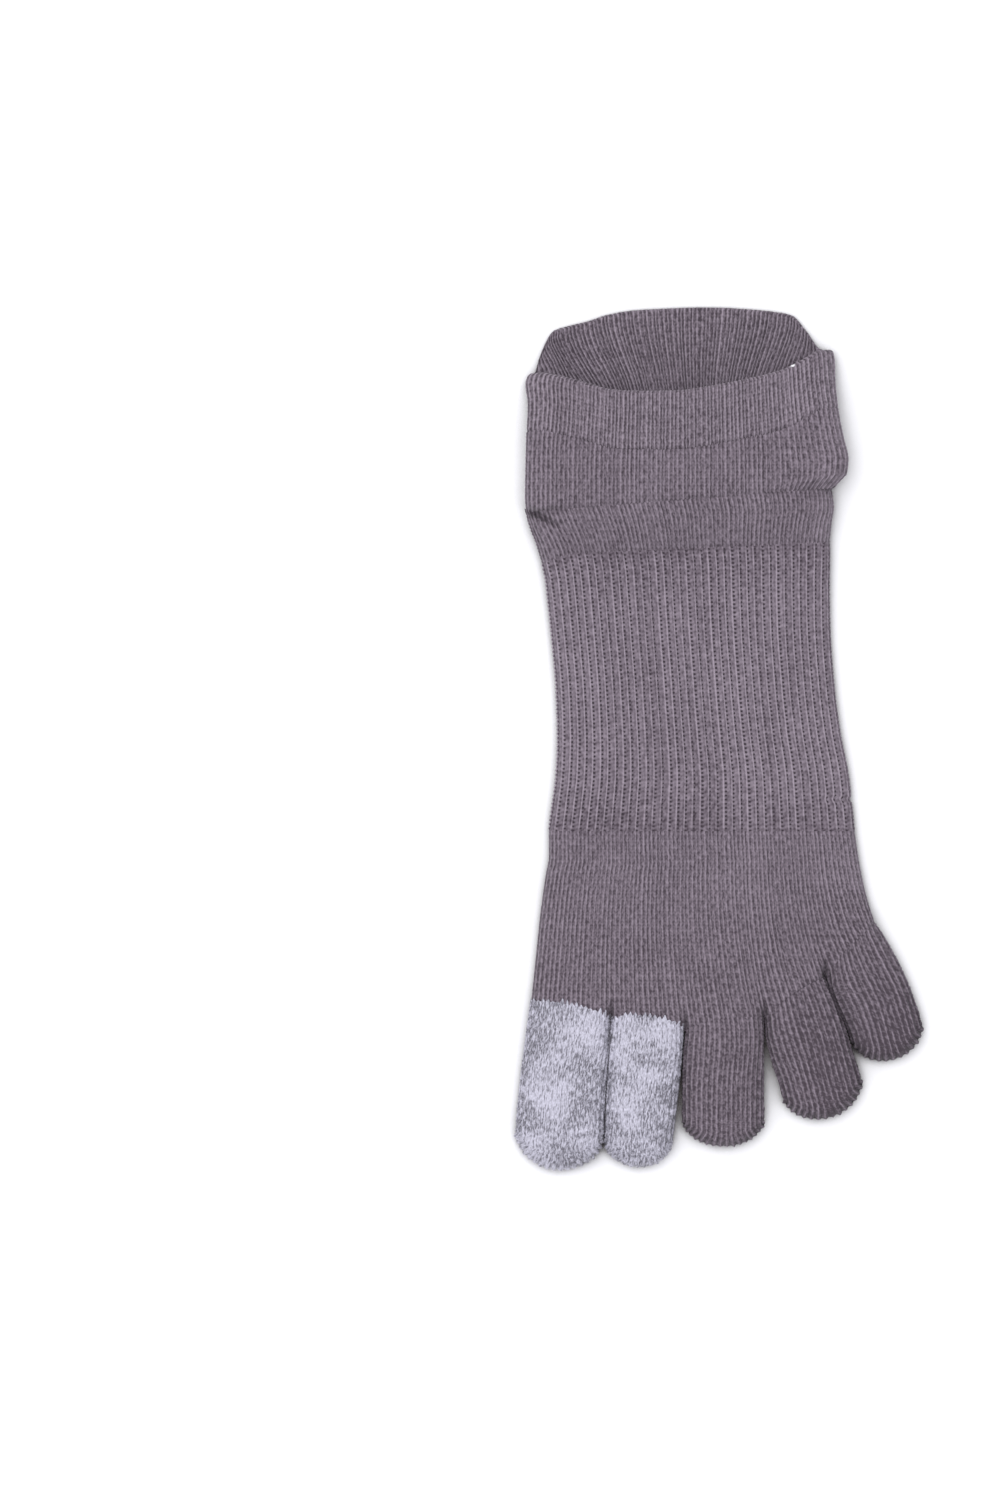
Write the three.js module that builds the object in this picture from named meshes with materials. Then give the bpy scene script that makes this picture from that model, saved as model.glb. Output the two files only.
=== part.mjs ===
// A toe sock for the left foot, lying flat with its sole down.
// It is knitted as one hollow tube, in sections that differ in stitch or yarn:
// five toe tubes, a plain forefoot, a ribbed arch band, a plain instep, a heel
// pocket that is folded under the leg, a plain ankle and a double rib cuff.
// Lengths are in millimetres. X runs across the foot to the little toe, Y runs
// from the toes to the cuff, and Z is up. The sole lies on Z = 0.
import * as THREE from "three";

// Cloth
const JERSEY_WALL = 1.4; // thickness of the plain knit
const RIB_WALL = 1.7; // thickness of the ribbed arch band
const CUFF_WALL = 2.0; // thickness of the double cuff
const FOLD = 2.3; // outer radius of a flattened side fold
const PUFF = 3.4; // how far the upper cloth stands above two folded edges
const PUFF_REACH = 10; // distance from an edge at which the cloth is level
const KNIT_GAP = 0.3; // clearance between two knitted sections
const TOE_GAP = 0.5; // clearance between two toes at the point where they part

// Lengths along the sock
const LEG_FRONT = 35.5; // from the ankle crease to the front rim, at the middle
const LEG_BACK = 56; // from the ankle crease to the back rim
const CUFF_HEIGHT = 17.3;
const INSTEP_LENGTH = 14;
const ARCH_LENGTH = 82;
const FOREFOOT_LENGTH = 52;
const TOE_LENGTH = 34.7; // of the big toe, from its root to the start of its round end
const HEEL_DEPTH = 20; // of the pocket folded under the leg

// Widths, flat
const LEG_WIDTH = 90;
const ARCH_WIDTH = 79;
const BALL_WIDTH = 99.5; // between the outer roots of the big and the little toe
const TOE_WIDTH = 25.2; // of the big toe
const HEEL_WIDTH = 80;
const HEEL_CORNER = 17; // radius of the heel pocket's corners in plan
const CREASE_TILT = 7; // how much nearer the cuff the ankle crease lies on the little toe's side
const RIM_TILT = 7; // the same for the rim
const ARCH_TILT = 3.5; // the same for the arch band's upper border

// The heel pocket lies flat under the leg, which rests on it.
const STACK_GAP = 0.4;
const HEEL_PUFF = 0.2;
const LEG_BASE = 2 * FOLD + HEEL_PUFF + STACK_GAP;
const LEG_LANDING = 24; // length over which the leg comes down to the surface past the heel

// Points round a section
const FOLD_STEPS = 3; // for each quarter of a side fold
const TOE_STEPS = 6; // across a toe's level part
const FOOT_STEPS = 12; // across the foot
const LEG_STEPS = 14; // across the leg, closer together towards its sides
const LOBE_STEPS = 4; // across each toe's share of the forefoot

// Side outlines. along runs from the cuff's end of a section to the toes' end,
// as a share of its length. left and right are shares of the section's width,
// measured from the middle line. fold and puff are shares of FOLD and PUFF.
const INSTEP_SECTIONS = [
  { along: 0, left: 0.602, right: 0.516, puff: 0.8 },
  { along: 0.35, left: 0.582, right: 0.524, puff: 1.16 },
  { along: 0.65, left: 0.561, right: 0.516, puff: 1.2 },
  { along: 1, left: 0.543, right: 0.51, puff: 0.9 },
];
const ARCH_SECTIONS = [
  { along: 0, left: 0.543, right: 0.51, fold: 1.25, puff: 0.88 },
  { along: 0.07, left: 0.5286, right: 0.51, fold: 1.17, puff: 0.98 },
  { along: 0.14, left: 0.521, right: 0.509, fold: 1.1, puff: 1.02 },
  { along: 0.28, left: 0.507, right: 0.511, fold: 1.04, puff: 1.0 },
  { along: 0.5, left: 0.489, right: 0.527, fold: 1, puff: 0.97 },
  { along: 0.66, left: 0.4846, right: 0.549, fold: 1, puff: 0.95 },
  { along: 0.8, left: 0.491, right: 0.578, fold: 1, puff: 0.93 },
  { along: 0.9, left: 0.504, right: 0.591, fold: 1, puff: 0.95 },
  { along: 1, left: 0.518, right: 0.602, fold: 1, puff: 0.97 },
];
const FOREFOOT_SECTIONS = [
  { along: 0, left: 0.411, right: 0.478, puff: 0.97 },
  { along: 0.15, left: 0.411, right: 0.484, puff: 0.98 },
  { along: 0.25, left: 0.42, right: 0.488, puff: 0.98 },
  { along: 0.5, left: 0.437, right: 0.5, puff: 0.99 },
  { along: 0.75, left: 0.45, right: 0.516, puff: 0.97 },
  { along: 1, left: 0.463, right: 0.537, puff: 0.92 },
];
// rise runs from the ankle crease to the rim, as a share of the leg's side.
const LEG_SECTIONS = [
  { rise: 0, left: 0.527, right: 0.46, puff: 0.8 },
  { rise: 0.05, left: 0.53, right: 0.483, puff: 1.08 },
  { rise: 0.1, left: 0.532, right: 0.503, puff: 1.22 },
  { rise: 0.2, left: 0.5315, right: 0.508, puff: 1.24 },
  { rise: 0.36, left: 0.53, right: 0.493, puff: 1.14 },
  { rise: 0.55, left: 0.528, right: 0.477, puff: 1.1 },
  { rise: 0.78, left: 0.524, right: 0.467, puff: 1.16 },
  { rise: 0.92, left: 0.5315, right: 0.465, puff: 1.26 },
  { rise: 1, left: 0.522, right: 0.46, puff: 1.35 },
];
// The rim, from the big toe's side to the little toe's side. across is a share
// of the half width. front and back are shares of how far each rim lies below
// or above the line between the two side folds.
const RIM_LINE = [
  { across: -1, front: 0, back: 0 },
  { across: -0.96, front: 0.01, back: 0.38 },
  { across: -0.87, front: 0.12, back: 0.75 },
  { across: -0.77, front: 0.28, back: 0.81 },
  { across: -0.62, front: 0.54, back: 0.88 },
  { across: -0.5, front: 0.76, back: 0.96 },
  { across: -0.32, front: 0.9, back: 1 },
  { across: 0.02, front: 1, back: 0.975 },
  { across: 0.26, front: 0.905, back: 0.93 },
  { across: 0.48, front: 0.77, back: 0.85 },
  { across: 0.65, front: 0.63, back: 0.77 },
  { across: 0.77, front: 0.44, back: 0.68 },
  { across: 0.875, front: 0.18, back: 0.36 },
  { across: 0.96, front: 0, back: 0.04 },
  { across: 1, front: 0, back: 0 },
];
const RIM_SIDE = 0.715; // height of the side folds at the rim, as a share of LEG_BACK
const FRONT_DIP = 0.24; // how far the front rim dips below them, as a share of LEG_FRONT

const MOUTH_CROWN = 0.45; // extra puff at the middle of the rim, as a share

// The line along which the toes leave the forefoot, from the big toe's outer
// side to the little toe's. across is a share of BALL_WIDTH from the middle
// line, and along a share of FOREFOOT_LENGTH.
const TOE_ROOTS = [
  { across: -0.463, along: 0.954 },
  { across: -0.232, along: 1.037 },
  { across: -0.015, along: 1.088 },
  { across: 0.216, along: 1.037 },
  { across: 0.391, along: 0.81 },
  { across: 0.537, along: 0.513 },
];
const ROOT_BOW = 1.2; // how far each toe's root bows towards the cuff
// length and width are shares of TOE_LENGTH and TOE_WIDTH. end is the depth of
// the round end as a share of its half width. lean and curl are in degrees,
// positive towards the little toe's side: a toe leaves its root at lean plus
// half of curl, and ends at lean less half of curl. puff is a share of PUFF.
const TOES = [
  { name: "big_toe", yarn: "silver", length: 1, width: 1, end: 0.92, lean: -5.2, curl: -3, puff: 0.96 },
  { name: "second_toe", yarn: "silver", length: 0.963, width: 0.76, end: 0.88, lean: -4.6, curl: 0, puff: 0.9 },
  { name: "third_toe", yarn: "charcoal", length: 0.795, width: 0.915, end: 0.72, lean: -0.4, curl: 0, puff: 0.92 },
  { name: "fourth_toe", yarn: "charcoal", length: 0.775, width: 0.92, end: 0.8, lean: 16.7, curl: 4, puff: 0.9 },
  { name: "little_toe", yarn: "charcoal", length: 0.73, width: 0.825, end: 0.85, lean: 24.2, curl: 18, puff: 0.88 },
];
const TOE_BODY_RINGS = 4;
const TOE_END_RINGS = 5;
const CROTCH_WIDTH = 4; // reach of the dip in the forefoot where two toes part
const CROTCH_DIP = 0.9; // share of the puff that is gone there

const COLOURS = { charcoal: 0x766c76, silver: 0xb4b2c2 };

const lerp = THREE.MathUtils.lerp;
const clamp = THREE.MathUtils.clamp;
const smoothstep = THREE.MathUtils.smoothstep;

// A smooth value between a table's rows that never overshoots them.
function smooth(table, key, at, column) {
  const last = table.length - 1;
  const where = clamp(at, table[0][key], table[last][key]);
  const slopes = [];
  for (let i = 0; i < last; i++) {
    const run = table[i + 1][key] - table[i][key];
    slopes.push((table[i + 1][column] - table[i][column]) / run);
  }
  const tangent = (i) => {
    if (i === 0 || i === last) return slopes[Math.min(i, last - 1)];
    const [before, after] = [slopes[i - 1], slopes[i]];
    return before * after <= 0 ? 0 : (2 * before * after) / (before + after);
  };
  let i = 0;
  while (i < last - 1 && where > table[i + 1][key]) i++;
  const run = table[i + 1][key] - table[i][key];
  const t = (where - table[i][key]) / run;
  return (
    table[i][column] * (1 + 2 * t) * (1 - t) ** 2 +
    tangent(i) * run * t * (1 - t) ** 2 +
    table[i + 1][column] * t * t * (3 - 2 * t) +
    tangent(i + 1) * run * t * t * (t - 1)
  );
}

// Points across a section, from its left fold to its right one. They are close
// together on the folds, and lie at the given shares of the level part.
function acrossPoints(half, fold, levelShares) {
  const points = [];
  const level = half - fold;
  for (let i = 0; i < FOLD_STEPS; i++) {
    points.push(-level - fold * Math.cos((i / FOLD_STEPS) * (Math.PI / 2)));
  }
  for (const share of levelShares) points.push(lerp(-level, level, share));
  for (let i = FOLD_STEPS - 1; i >= 0; i--) {
    points.push(level + fold * Math.cos((i / FOLD_STEPS) * (Math.PI / 2)));
  }
  return points;
}

const evenShares = (steps) => Array.from({ length: steps + 1 }, (_, i) => i / steps);
const sideShares = (steps) => evenShares(steps).map((t) => (1 - Math.cos(Math.PI * t)) / 2);

// One ring round a flattened tube. The ring starts at the left fold, runs over
// the top to the right fold and comes back underneath. inset is 0 for the outer
// face of the cloth and its thickness for the inner face. section.endAt is how
// far the ring lies into a round end of radius section.half.
function ring(section, inset) {
  const half = section.half - inset;
  const fold = section.fold - inset;
  const endAt = Math.min(section.endAt ?? 0, 1) * half;
  const narrow = Math.sqrt(Math.max(half * half - endAt * endAt, 0)) / half;
  const acrosses = acrossPoints(half, Math.min(fold, half / 2), section.levelShares);
  const point = (across, top) => {
    const a = across * narrow;
    const share = a / section.half;
    const fromEdge = section.fromEdge
      ? section.fromEdge(a, inset)
      : half - Math.hypot(a, endAt);
    const depth = clamp(fromEdge, 0, fold);
    const bow = Math.sqrt(Math.max(fold * fold - (fold - depth) ** 2, 0));
    const level = clamp(fromEdge / (PUFF_REACH - inset), 0, 1);
    const puff = section.puff * (section.puffAt?.(share) ?? 1) * (1 - (1 - level) ** 2);
    const place = section.place(a, share, top, endAt);
    const base = (section.baseAt?.(place.x, place.y) ?? 0) + inset;
    return new THREE.Vector3(place.x, place.y, base + fold + (top ? bow + puff : -bow));
  };
  const over = acrosses.map((a) => point(a, true));
  const under = acrosses.slice(1, -1).map((a) => point(a, false));
  return [...over, ...under.reverse()];
}

// The cloth between outer and inner rings, as one closed solid. The rings start
// at an open end. The last pair is open too, or it has closed to a point or line.
function clothGeometry(sections, wall, endSections = sections) {
  const outer = sections.map((section) => ring(section, 0));
  const inner = endSections.map((section) => ring(section, wall));
  const positions = [];
  const triangle = (a, b, c) => {
    if (a.distanceTo(b) < 1e-4 || b.distanceTo(c) < 1e-4 || c.distanceTo(a) < 1e-4) return;
    for (const p of [a, b, c]) positions.push(p.x, p.y, p.z);
  };
  const strip = (first, second) => {
    const count = first.length;
    for (let i = 0; i < count; i++) {
      const j = (i + 1) % count;
      triangle(first[i], first[j], second[j]);
      triangle(first[i], second[j], second[i]);
    }
  };
  for (let k = 0; k + 1 < outer.length; k++) strip(outer[k], outer[k + 1]);
  for (let k = 0; k + 1 < inner.length; k++) strip(inner[k + 1], inner[k]);
  strip(inner[0], outer[0]);
  const end = outer[outer.length - 1];
  const closed = end[1].distanceTo(end[end.length - 1]) < 1e-4;
  if (!closed) strip(end, inner[inner.length - 1]);
  const geometry = new THREE.BufferGeometry();
  geometry.setAttribute("position", new THREE.Float32BufferAttribute(positions, 3));
  geometry.computeVertexNormals();
  return geometry;
}

function clothMesh(name, geometry, yarn) {
  const material = new THREE.MeshStandardMaterial({
    color: COLOURS[yarn],
    roughness: yarn === "silver" ? 0.6 : 0.95,
    metalness: yarn === "silver" ? 0.3 : 0,
  });
  const mesh = new THREE.Mesh(geometry, material);
  mesh.name = name;
  return mesh;
}

// Where things lie along Y: the ankle crease crosses the middle line at 0.
const ARCH_TOP = -INSTEP_LENGTH;
const ARCH_END = ARCH_TOP - ARCH_LENGTH;
const creaseAt = (x) => (CREASE_TILT / LEG_WIDTH) * x;
const archTopAt = (x) => ARCH_TOP + (ARCH_TILT / ARCH_WIDTH) * x;
const RIM_FOLD_AT = LEG_BACK * RIM_SIDE;
const LEVEL_SHARE = 1 - FOLD / (LEG_WIDTH / 2);

function rimAt(share, top) {
  const across = clamp(share / LEVEL_SHARE, -1, 1);
  const reach = top
    ? -smooth(RIM_LINE, "across", across, "front") * FRONT_DIP * LEG_FRONT
    : smooth(RIM_LINE, "across", across, "back") * (LEG_BACK - RIM_FOLD_AT);
  return RIM_FOLD_AT + (RIM_TILT / 2) * share + reach;
}

// A section of a tube whose left and right edges lie at those X values.
function tubeSection(left, right, fold, puff, yAt, extras = {}) {
  const middle = (right - left) / 2;
  return {
    half: (left + right) / 2,
    fold,
    puff: puff * PUFF,
    levelShares: evenShares(FOOT_STEPS),
    place: (a, share, top) => ({ x: middle + a, y: yAt(middle + a, share, top) }),
    ...extras,
  };
}

// The leg's lower face rests on the heel pocket, then comes down to the surface.
const legBaseAt = (x, y) =>
  LEG_BASE * (1 - smoothstep(y - creaseAt(x), HEEL_DEPTH, HEEL_DEPTH + LEG_LANDING));

function legSection(rise, yAt) {
  const at = (column) => smooth(LEG_SECTIONS, "rise", rise, column);
  return tubeSection(at("left") * LEG_WIDTH, at("right") * LEG_WIDTH, FOLD, at("puff"), yAt, {
    baseAt: legBaseAt,
    levelShares: sideShares(LEG_STEPS),
    puffAt: (share) => 1 + MOUTH_CROWN * rise * rise * (1 - share * share),
  });
}

// Heights of the leg's rings are shares of the way from the crease to the rim.
const CUFF_START = 1 - CUFF_HEIGHT / RIM_FOLD_AT;

function makeAnkle() {
  const low = (x) => creaseAt(x) + KNIT_GAP / 2;
  const high = (share, top) => rimAt(share, top) - CUFF_HEIGHT - KNIT_GAP / 2;
  const sections = [0, 0.08, 0.18, 0.35, 0.55, 0.78, 1].map((t) =>
    legSection(t * CUFF_START, (x, share, top) => lerp(low(x), high(share, top), t)),
  );
  return clothMesh("ankle", clothGeometry(sections, JERSEY_WALL), "charcoal");
}

function makeCuff() {
  const low = (share, top) => rimAt(share, top) - CUFF_HEIGHT + KNIT_GAP / 2;
  const sections = evenShares(4).map((t) =>
    legSection(lerp(CUFF_START, 1, t), (x, share, top) =>
      lerp(low(share, top), rimAt(share, top), t),
    ),
  );
  return clothMesh("cuff", clothGeometry(sections, CUFF_WALL), "charcoal");
}

// Sections that run from the cuff's side to the toes' side are listed from the
// toes' end, so that every tube's rings run the same way.
function makeInstep() {
  const creaseFold = (LEG_BASE + 2 * FOLD) / 2;
  const sections = [1, 0.75, 0.5, 0.25, 0].map((t) => {
    const at = (column) => smooth(INSTEP_SECTIONS, "along", t, column) * ARCH_WIDTH;
    const puff = smooth(INSTEP_SECTIONS, "along", t, "puff");
    const fold = lerp(creaseFold, ARCH_SECTIONS[0].fold * FOLD, smoothstep(t, 0, 1));
    return tubeSection(at("left"), at("right"), fold, puff, (x) =>
      lerp(creaseAt(x) - KNIT_GAP / 2, archTopAt(x) + KNIT_GAP / 2, t),
    );
  });
  return clothMesh("instep", clothGeometry(sections, JERSEY_WALL), "charcoal");
}

function makeArchBand() {
  const sections = [1, 0.9, 0.8, 0.66, 0.5, 0.3, 0.14, 0.07, 0].map((t) => {
    const at = (column) => smooth(ARCH_SECTIONS, "along", t, column);
    const [left, right] = [at("left") * ARCH_WIDTH, at("right") * ARCH_WIDTH];
    return tubeSection(left, right, at("fold") * FOLD, at("puff"), (x) =>
      lerp(archTopAt(x) - KNIT_GAP / 2, ARCH_END + KNIT_GAP / 2, t),
    );
  });
  return clothMesh("arch_band", clothGeometry(sections, RIB_WALL), "charcoal");
}

// The heel pocket: a flat bag with round corners, open towards the toes.
function makeHeelPocket() {
  const half = HEEL_WIDTH / 2;
  const straight = HEEL_DEPTH - HEEL_CORNER;
  const sections = (inset) => {
    const corner = HEEL_CORNER - inset;
    const turns = evenShares(5).map((t) => straight + corner * Math.sin((t * Math.PI) / 2));
    return [0, straight / 2, ...turns].map((depth) => {
      const over = Math.max(depth - straight, 0);
      const inFromSide = corner - Math.sqrt(Math.max(corner * corner - over * over, 0));
      const wide = half - inFromSide;
      return {
        half: wide,
        fold: FOLD,
        puff: HEEL_PUFF,
        levelShares: evenShares(FOOT_STEPS),
        fromEdge: (a) => {
          const past = Math.abs(a) - (half - HEEL_CORNER);
          if (past > 0 && over > 0) return Math.max(corner - Math.hypot(past, over), 0);
          return Math.min(half - inset - Math.abs(a), straight + corner - depth);
        },
        place: (a) => {
          const x = (INSTEP_SECTIONS[0].right - INSTEP_SECTIONS[0].left) * (ARCH_WIDTH / 2) + a;
          return { x, y: depth + creaseAt(x) + KNIT_GAP / 2 };
        },
      };
    });
  };
  const geometry = clothGeometry(sections(0), JERSEY_WALL, sections(JERSEY_WALL));
  return clothMesh("heel_pocket", geometry, "charcoal");
}

const rootPoint = ({ across, along }) =>
  new THREE.Vector2(across * BALL_WIDTH, ARCH_END - along * FOREFOOT_LENGTH);
const ROOT_POINTS = TOE_ROOTS.map(rootPoint);

const bowAt = (u) => ROOT_BOW * 4 * u * (1 - u);

// Y of the line along which the toes leave the forefoot.
function rootLineAt(x) {
  const last = ROOT_POINTS.length - 1;
  let i = 0;
  while (i < last - 1 && x > ROOT_POINTS[i + 1].x) i++;
  const [from, to] = [ROOT_POINTS[i], ROOT_POINTS[i + 1]];
  const u = clamp((x - from.x) / (to.x - from.x), 0, 1);
  return lerp(from.y, to.y, u) + bowAt(u);
}

function makeForefoot() {
  const [outerRoot, littleRoot] = [ROOT_POINTS[0], ROOT_POINTS[ROOT_POINTS.length - 1]];
  const level = [outerRoot.x + FOLD, littleRoot.x - FOLD];
  const shareOf = (x) => clamp((x - level[0]) / (level[1] - level[0]), 0, 1);
  const levelShares = [];
  for (let i = 0; i + 1 < ROOT_POINTS.length; i++) {
    const [from, to] = [shareOf(ROOT_POINTS[i].x), shareOf(ROOT_POINTS[i + 1].x)];
    for (let k = 0; k < LOBE_STEPS; k++) levelShares.push(lerp(from, to, k / LOBE_STEPS));
  }
  levelShares.push(1);
  const crotches = ROOT_POINTS.slice(1, -1).map((p) => p.x);
  const sections = [1, 0.94, 0.82, 0.65, 0.45, 0.25, 0.15, 0].map((t) => {
    const at = (column) => smooth(FOREFOOT_SECTIONS, "along", t, column);
    const [left, right] = [at("left") * BALL_WIDTH, at("right") * BALL_WIDTH];
    const rootX = (share) => lerp(outerRoot.x, littleRoot.x, (share + 1) / 2);
    return tubeSection(
      left, right, FOLD, at("puff"),
      (x, share) => lerp(ARCH_END - KNIT_GAP / 2, rootLineAt(rootX(share)) + KNIT_GAP / 2, t),
      {
        levelShares,
        puffAt: (share) => {
          const away = Math.min(...crotches.map((x) => Math.abs(rootX(share) - x)));
          return 1 - CROTCH_DIP * t ** 4 * Math.exp(-((away / CROTCH_WIDTH) ** 2));
        },
      },
    );
  });
  return clothMesh("forefoot", clothGeometry(sections, JERSEY_WALL), "charcoal");
}

// A toe's tube from its root line to a round end. The root line is slanted, and
// the slant is gone where the round end starts.
function makeToe(toe, index) {
  const gap = (i) => (i === 0 || i === ROOT_POINTS.length - 1 ? 0 : TOE_GAP / 2);
  const direction = ROOT_POINTS[index + 1].clone().sub(ROOT_POINTS[index]).normalize();
  const from = ROOT_POINTS[index].clone().addScaledVector(direction, gap(index));
  const to = ROOT_POINTS[index + 1].clone().addScaledVector(direction, -gap(index + 1));
  const middle = from.clone().add(to).multiplyScalar(0.5);
  const curl = THREE.MathUtils.degToRad(toe.curl);
  const frameAt = (t) => {
    const angle = THREE.MathUtils.degToRad(toe.lean) + curl * (0.5 - t);
    return {
      axis: new THREE.Vector2(Math.sin(angle), -Math.cos(angle)),
      side: new THREE.Vector2(Math.cos(angle), Math.sin(angle)),
    };
  };
  const mean = frameAt(0.5);
  const span = to.clone().sub(from);
  const rootHalf = span.dot(frameAt(0).side) / 2;
  const slant = span.dot(frameAt(0).axis) / 2;
  const length = toe.length * TOE_LENGTH;
  const endHalf = (toe.width * TOE_WIDTH) / 2;
  const section = (t, endAt) => {
    const frame = frameAt(t);
    const centre = middle
      .clone()
      .addScaledVector(mean.axis, KNIT_GAP / 2 + t * (length - KNIT_GAP / 2))
      .addScaledVector(mean.side, (length * curl * t * (1 - t)) / 2);
    return {
      half: lerp(rootHalf, endHalf, t),
      endAt,
      fold: FOLD,
      puff: toe.puff * PUFF,
      levelShares: evenShares(TOE_STEPS),
      place: (a, share, top, past) => {
        const along = (1 - t) * slant * share + past * toe.end;
        const p = centre.clone().addScaledVector(frame.axis, along).addScaledVector(frame.side, a);
        return { x: p.x, y: p.y + (1 - t) * bowAt((share + 1) / 2) };
      },
    };
  };
  const body = evenShares(TOE_BODY_RINGS).map((t) => section(t, 0));
  const end = evenShares(TOE_END_RINGS)
    .slice(1)
    .map((t) => section(1, Math.sin((t * Math.PI) / 2)));
  const geometry = clothGeometry([...body, ...end], JERSEY_WALL);
  // A toe's rings run away from the cuff, so its faces are turned round.
  const positions = geometry.getAttribute("position");
  for (let i = 0; i < positions.count; i += 3) {
    const [b, c] = [new THREE.Vector3(), new THREE.Vector3()];
    b.fromBufferAttribute(positions, i + 1);
    c.fromBufferAttribute(positions, i + 2);
    positions.setXYZ(i + 1, c.x, c.y, c.z);
    positions.setXYZ(i + 2, b.x, b.y, b.z);
  }
  geometry.computeVertexNormals();
  return clothMesh(toe.name, geometry, toe.yarn);
}

const sock = new THREE.Group();
sock.name = "toe_sock";
sock.add(
  makeCuff(),
  makeAnkle(),
  makeHeelPocket(),
  makeInstep(),
  makeArchBand(),
  makeForefoot(),
  ...TOES.map(makeToe),
);

// The origin is under the middle of the sock's box, on the surface it lies on.
const box = new THREE.Box3().setFromObject(sock);
const centre = box.getCenter(new THREE.Vector3());
sock.position.set(-centre.x, -centre.y, -box.min.z);

export default sock;
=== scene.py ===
# %% [markdown]
# # A knitted toe sock, laid flat
# This lesson dresses a plain model of a toe sock. The plain model has the right
# shape and size, and one hollow solid for each knitted section. What it lacks is
# the knitting itself. Here every section is made again as a fine surface whose
# rows and columns of points follow the rows and columns of stitches. Stitches can
# then be raised out of the surface by a short formula, and coloured by another.
# A photograph of knit used as a texture would be quicker, but it would not
# bend with the toes, and it would show no relief from the side.

import math

import bmesh
import bpy
import numpy as np
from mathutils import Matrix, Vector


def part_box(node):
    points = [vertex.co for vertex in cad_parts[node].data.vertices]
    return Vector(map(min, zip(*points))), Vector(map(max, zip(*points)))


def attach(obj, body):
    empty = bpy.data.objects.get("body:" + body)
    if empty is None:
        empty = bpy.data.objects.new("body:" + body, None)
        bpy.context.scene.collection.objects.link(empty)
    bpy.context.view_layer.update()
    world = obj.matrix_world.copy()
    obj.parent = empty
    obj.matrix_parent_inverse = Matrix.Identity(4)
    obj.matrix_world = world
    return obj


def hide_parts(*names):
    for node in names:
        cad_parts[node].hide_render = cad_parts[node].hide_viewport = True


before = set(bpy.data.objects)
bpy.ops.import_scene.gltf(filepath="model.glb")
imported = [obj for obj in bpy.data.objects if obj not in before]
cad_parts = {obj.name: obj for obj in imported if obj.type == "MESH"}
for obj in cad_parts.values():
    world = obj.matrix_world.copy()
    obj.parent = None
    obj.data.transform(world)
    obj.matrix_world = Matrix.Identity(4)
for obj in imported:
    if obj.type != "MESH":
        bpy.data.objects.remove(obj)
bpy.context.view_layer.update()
print("sections in the plain model:", sorted(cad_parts))

# %% [markdown]
# ## Sizes
# Lengths are in millimetres until a mesh is made. X runs across the foot towards
# the little toe, Y runs from the toes to the cuff, and Z is up. The ankle crease
# crosses the middle line where Y is 0. The sole lies on Z = 0. The sizes are those
# of the plain model, so both fit each other without any nudging by hand.

# %% Sizes of the sock
CUFF_WALL = 2.0
FOLD = 2.3  # outer radius of a flattened side fold
PUFF = 3.4  # how far the upper cloth stands above two folded edges
PUFF_REACH = 10  # distance from an edge at which the cloth is level
LEG_FRONT = 35.5
LEG_BACK = 56
CUFF_HEIGHT = 17.3
INSTEP_LENGTH = 14
ARCH_LENGTH = 82
FOREFOOT_LENGTH = 52
TOE_LENGTH = 34.7
HEEL_DEPTH = 20
LEG_WIDTH = 90
ARCH_WIDTH = 79
BALL_WIDTH = 99.5
TOE_WIDTH = 25.2
HEEL_WIDTH = 80
HEEL_CORNER = 17
CREASE_TILT = 7
RIM_TILT = 7
ARCH_TILT = 3.5
HEEL_PUFF = 0.2
LEG_BASE = 2 * FOLD + HEEL_PUFF + 0.4
LEG_LANDING = 24
ROOT_BOW = 1.2
KNIT_GAP = 0.3  # between two sections of the plain model
ARCH_TOP = -INSTEP_LENGTH
ARCH_END = ARCH_TOP - ARCH_LENGTH
RIM_FOLD_AT = LEG_BACK * 0.715
FRONT_DIP = LEG_FRONT * 0.24
CUFF_START = 1 - CUFF_HEIGHT / RIM_FOLD_AT
MOUTH_CROWN = 0.45
print("foot without toes:", INSTEP_LENGTH + ARCH_LENGTH + FOREFOOT_LENGTH, "mm")

# %% [markdown]
# ## Outlines
# A flattened sock has no simple outline. Each section has a short table instead.
# Its first row says how far along the section each column lies, as a share of
# the length, and the other rows say how wide and how puffed the cloth is there,
# as shares of the sizes above. Points read from a drawing would do as well, but
# with shares a whole section can be made longer or wider by one number.

# %% Tables of shares
INSTEP = {
    "along": (0, 0.35, 0.65, 1),
    "left": (0.602, 0.582, 0.561, 0.543),
    "right": (0.516, 0.524, 0.516, 0.51),
    "puff": (0.8, 1.16, 1.2, 0.9),
}
ARCH = {
    "along": (0, 0.07, 0.14, 0.28, 0.5, 0.66, 0.8, 0.9, 1),
    "left": (0.543, 0.5286, 0.521, 0.507, 0.489, 0.4846, 0.491, 0.504, 0.518),
    "right": (0.51, 0.51, 0.509, 0.511, 0.527, 0.549, 0.578, 0.591, 0.602),
    "fold": (1.25, 1.17, 1.1, 1.04, 1, 1, 1, 1, 1),
    "puff": (0.88, 0.98, 1.02, 1.0, 0.97, 0.95, 0.93, 0.95, 0.97),
}
FOREFOOT = {
    "along": (0, 0.15, 0.25, 0.5, 0.75, 1),
    "left": (0.411, 0.411, 0.42, 0.437, 0.45, 0.463),
    "right": (0.478, 0.484, 0.488, 0.5, 0.516, 0.537),
    "puff": (0.97, 0.98, 0.98, 0.99, 0.97, 0.92),
}
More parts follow.
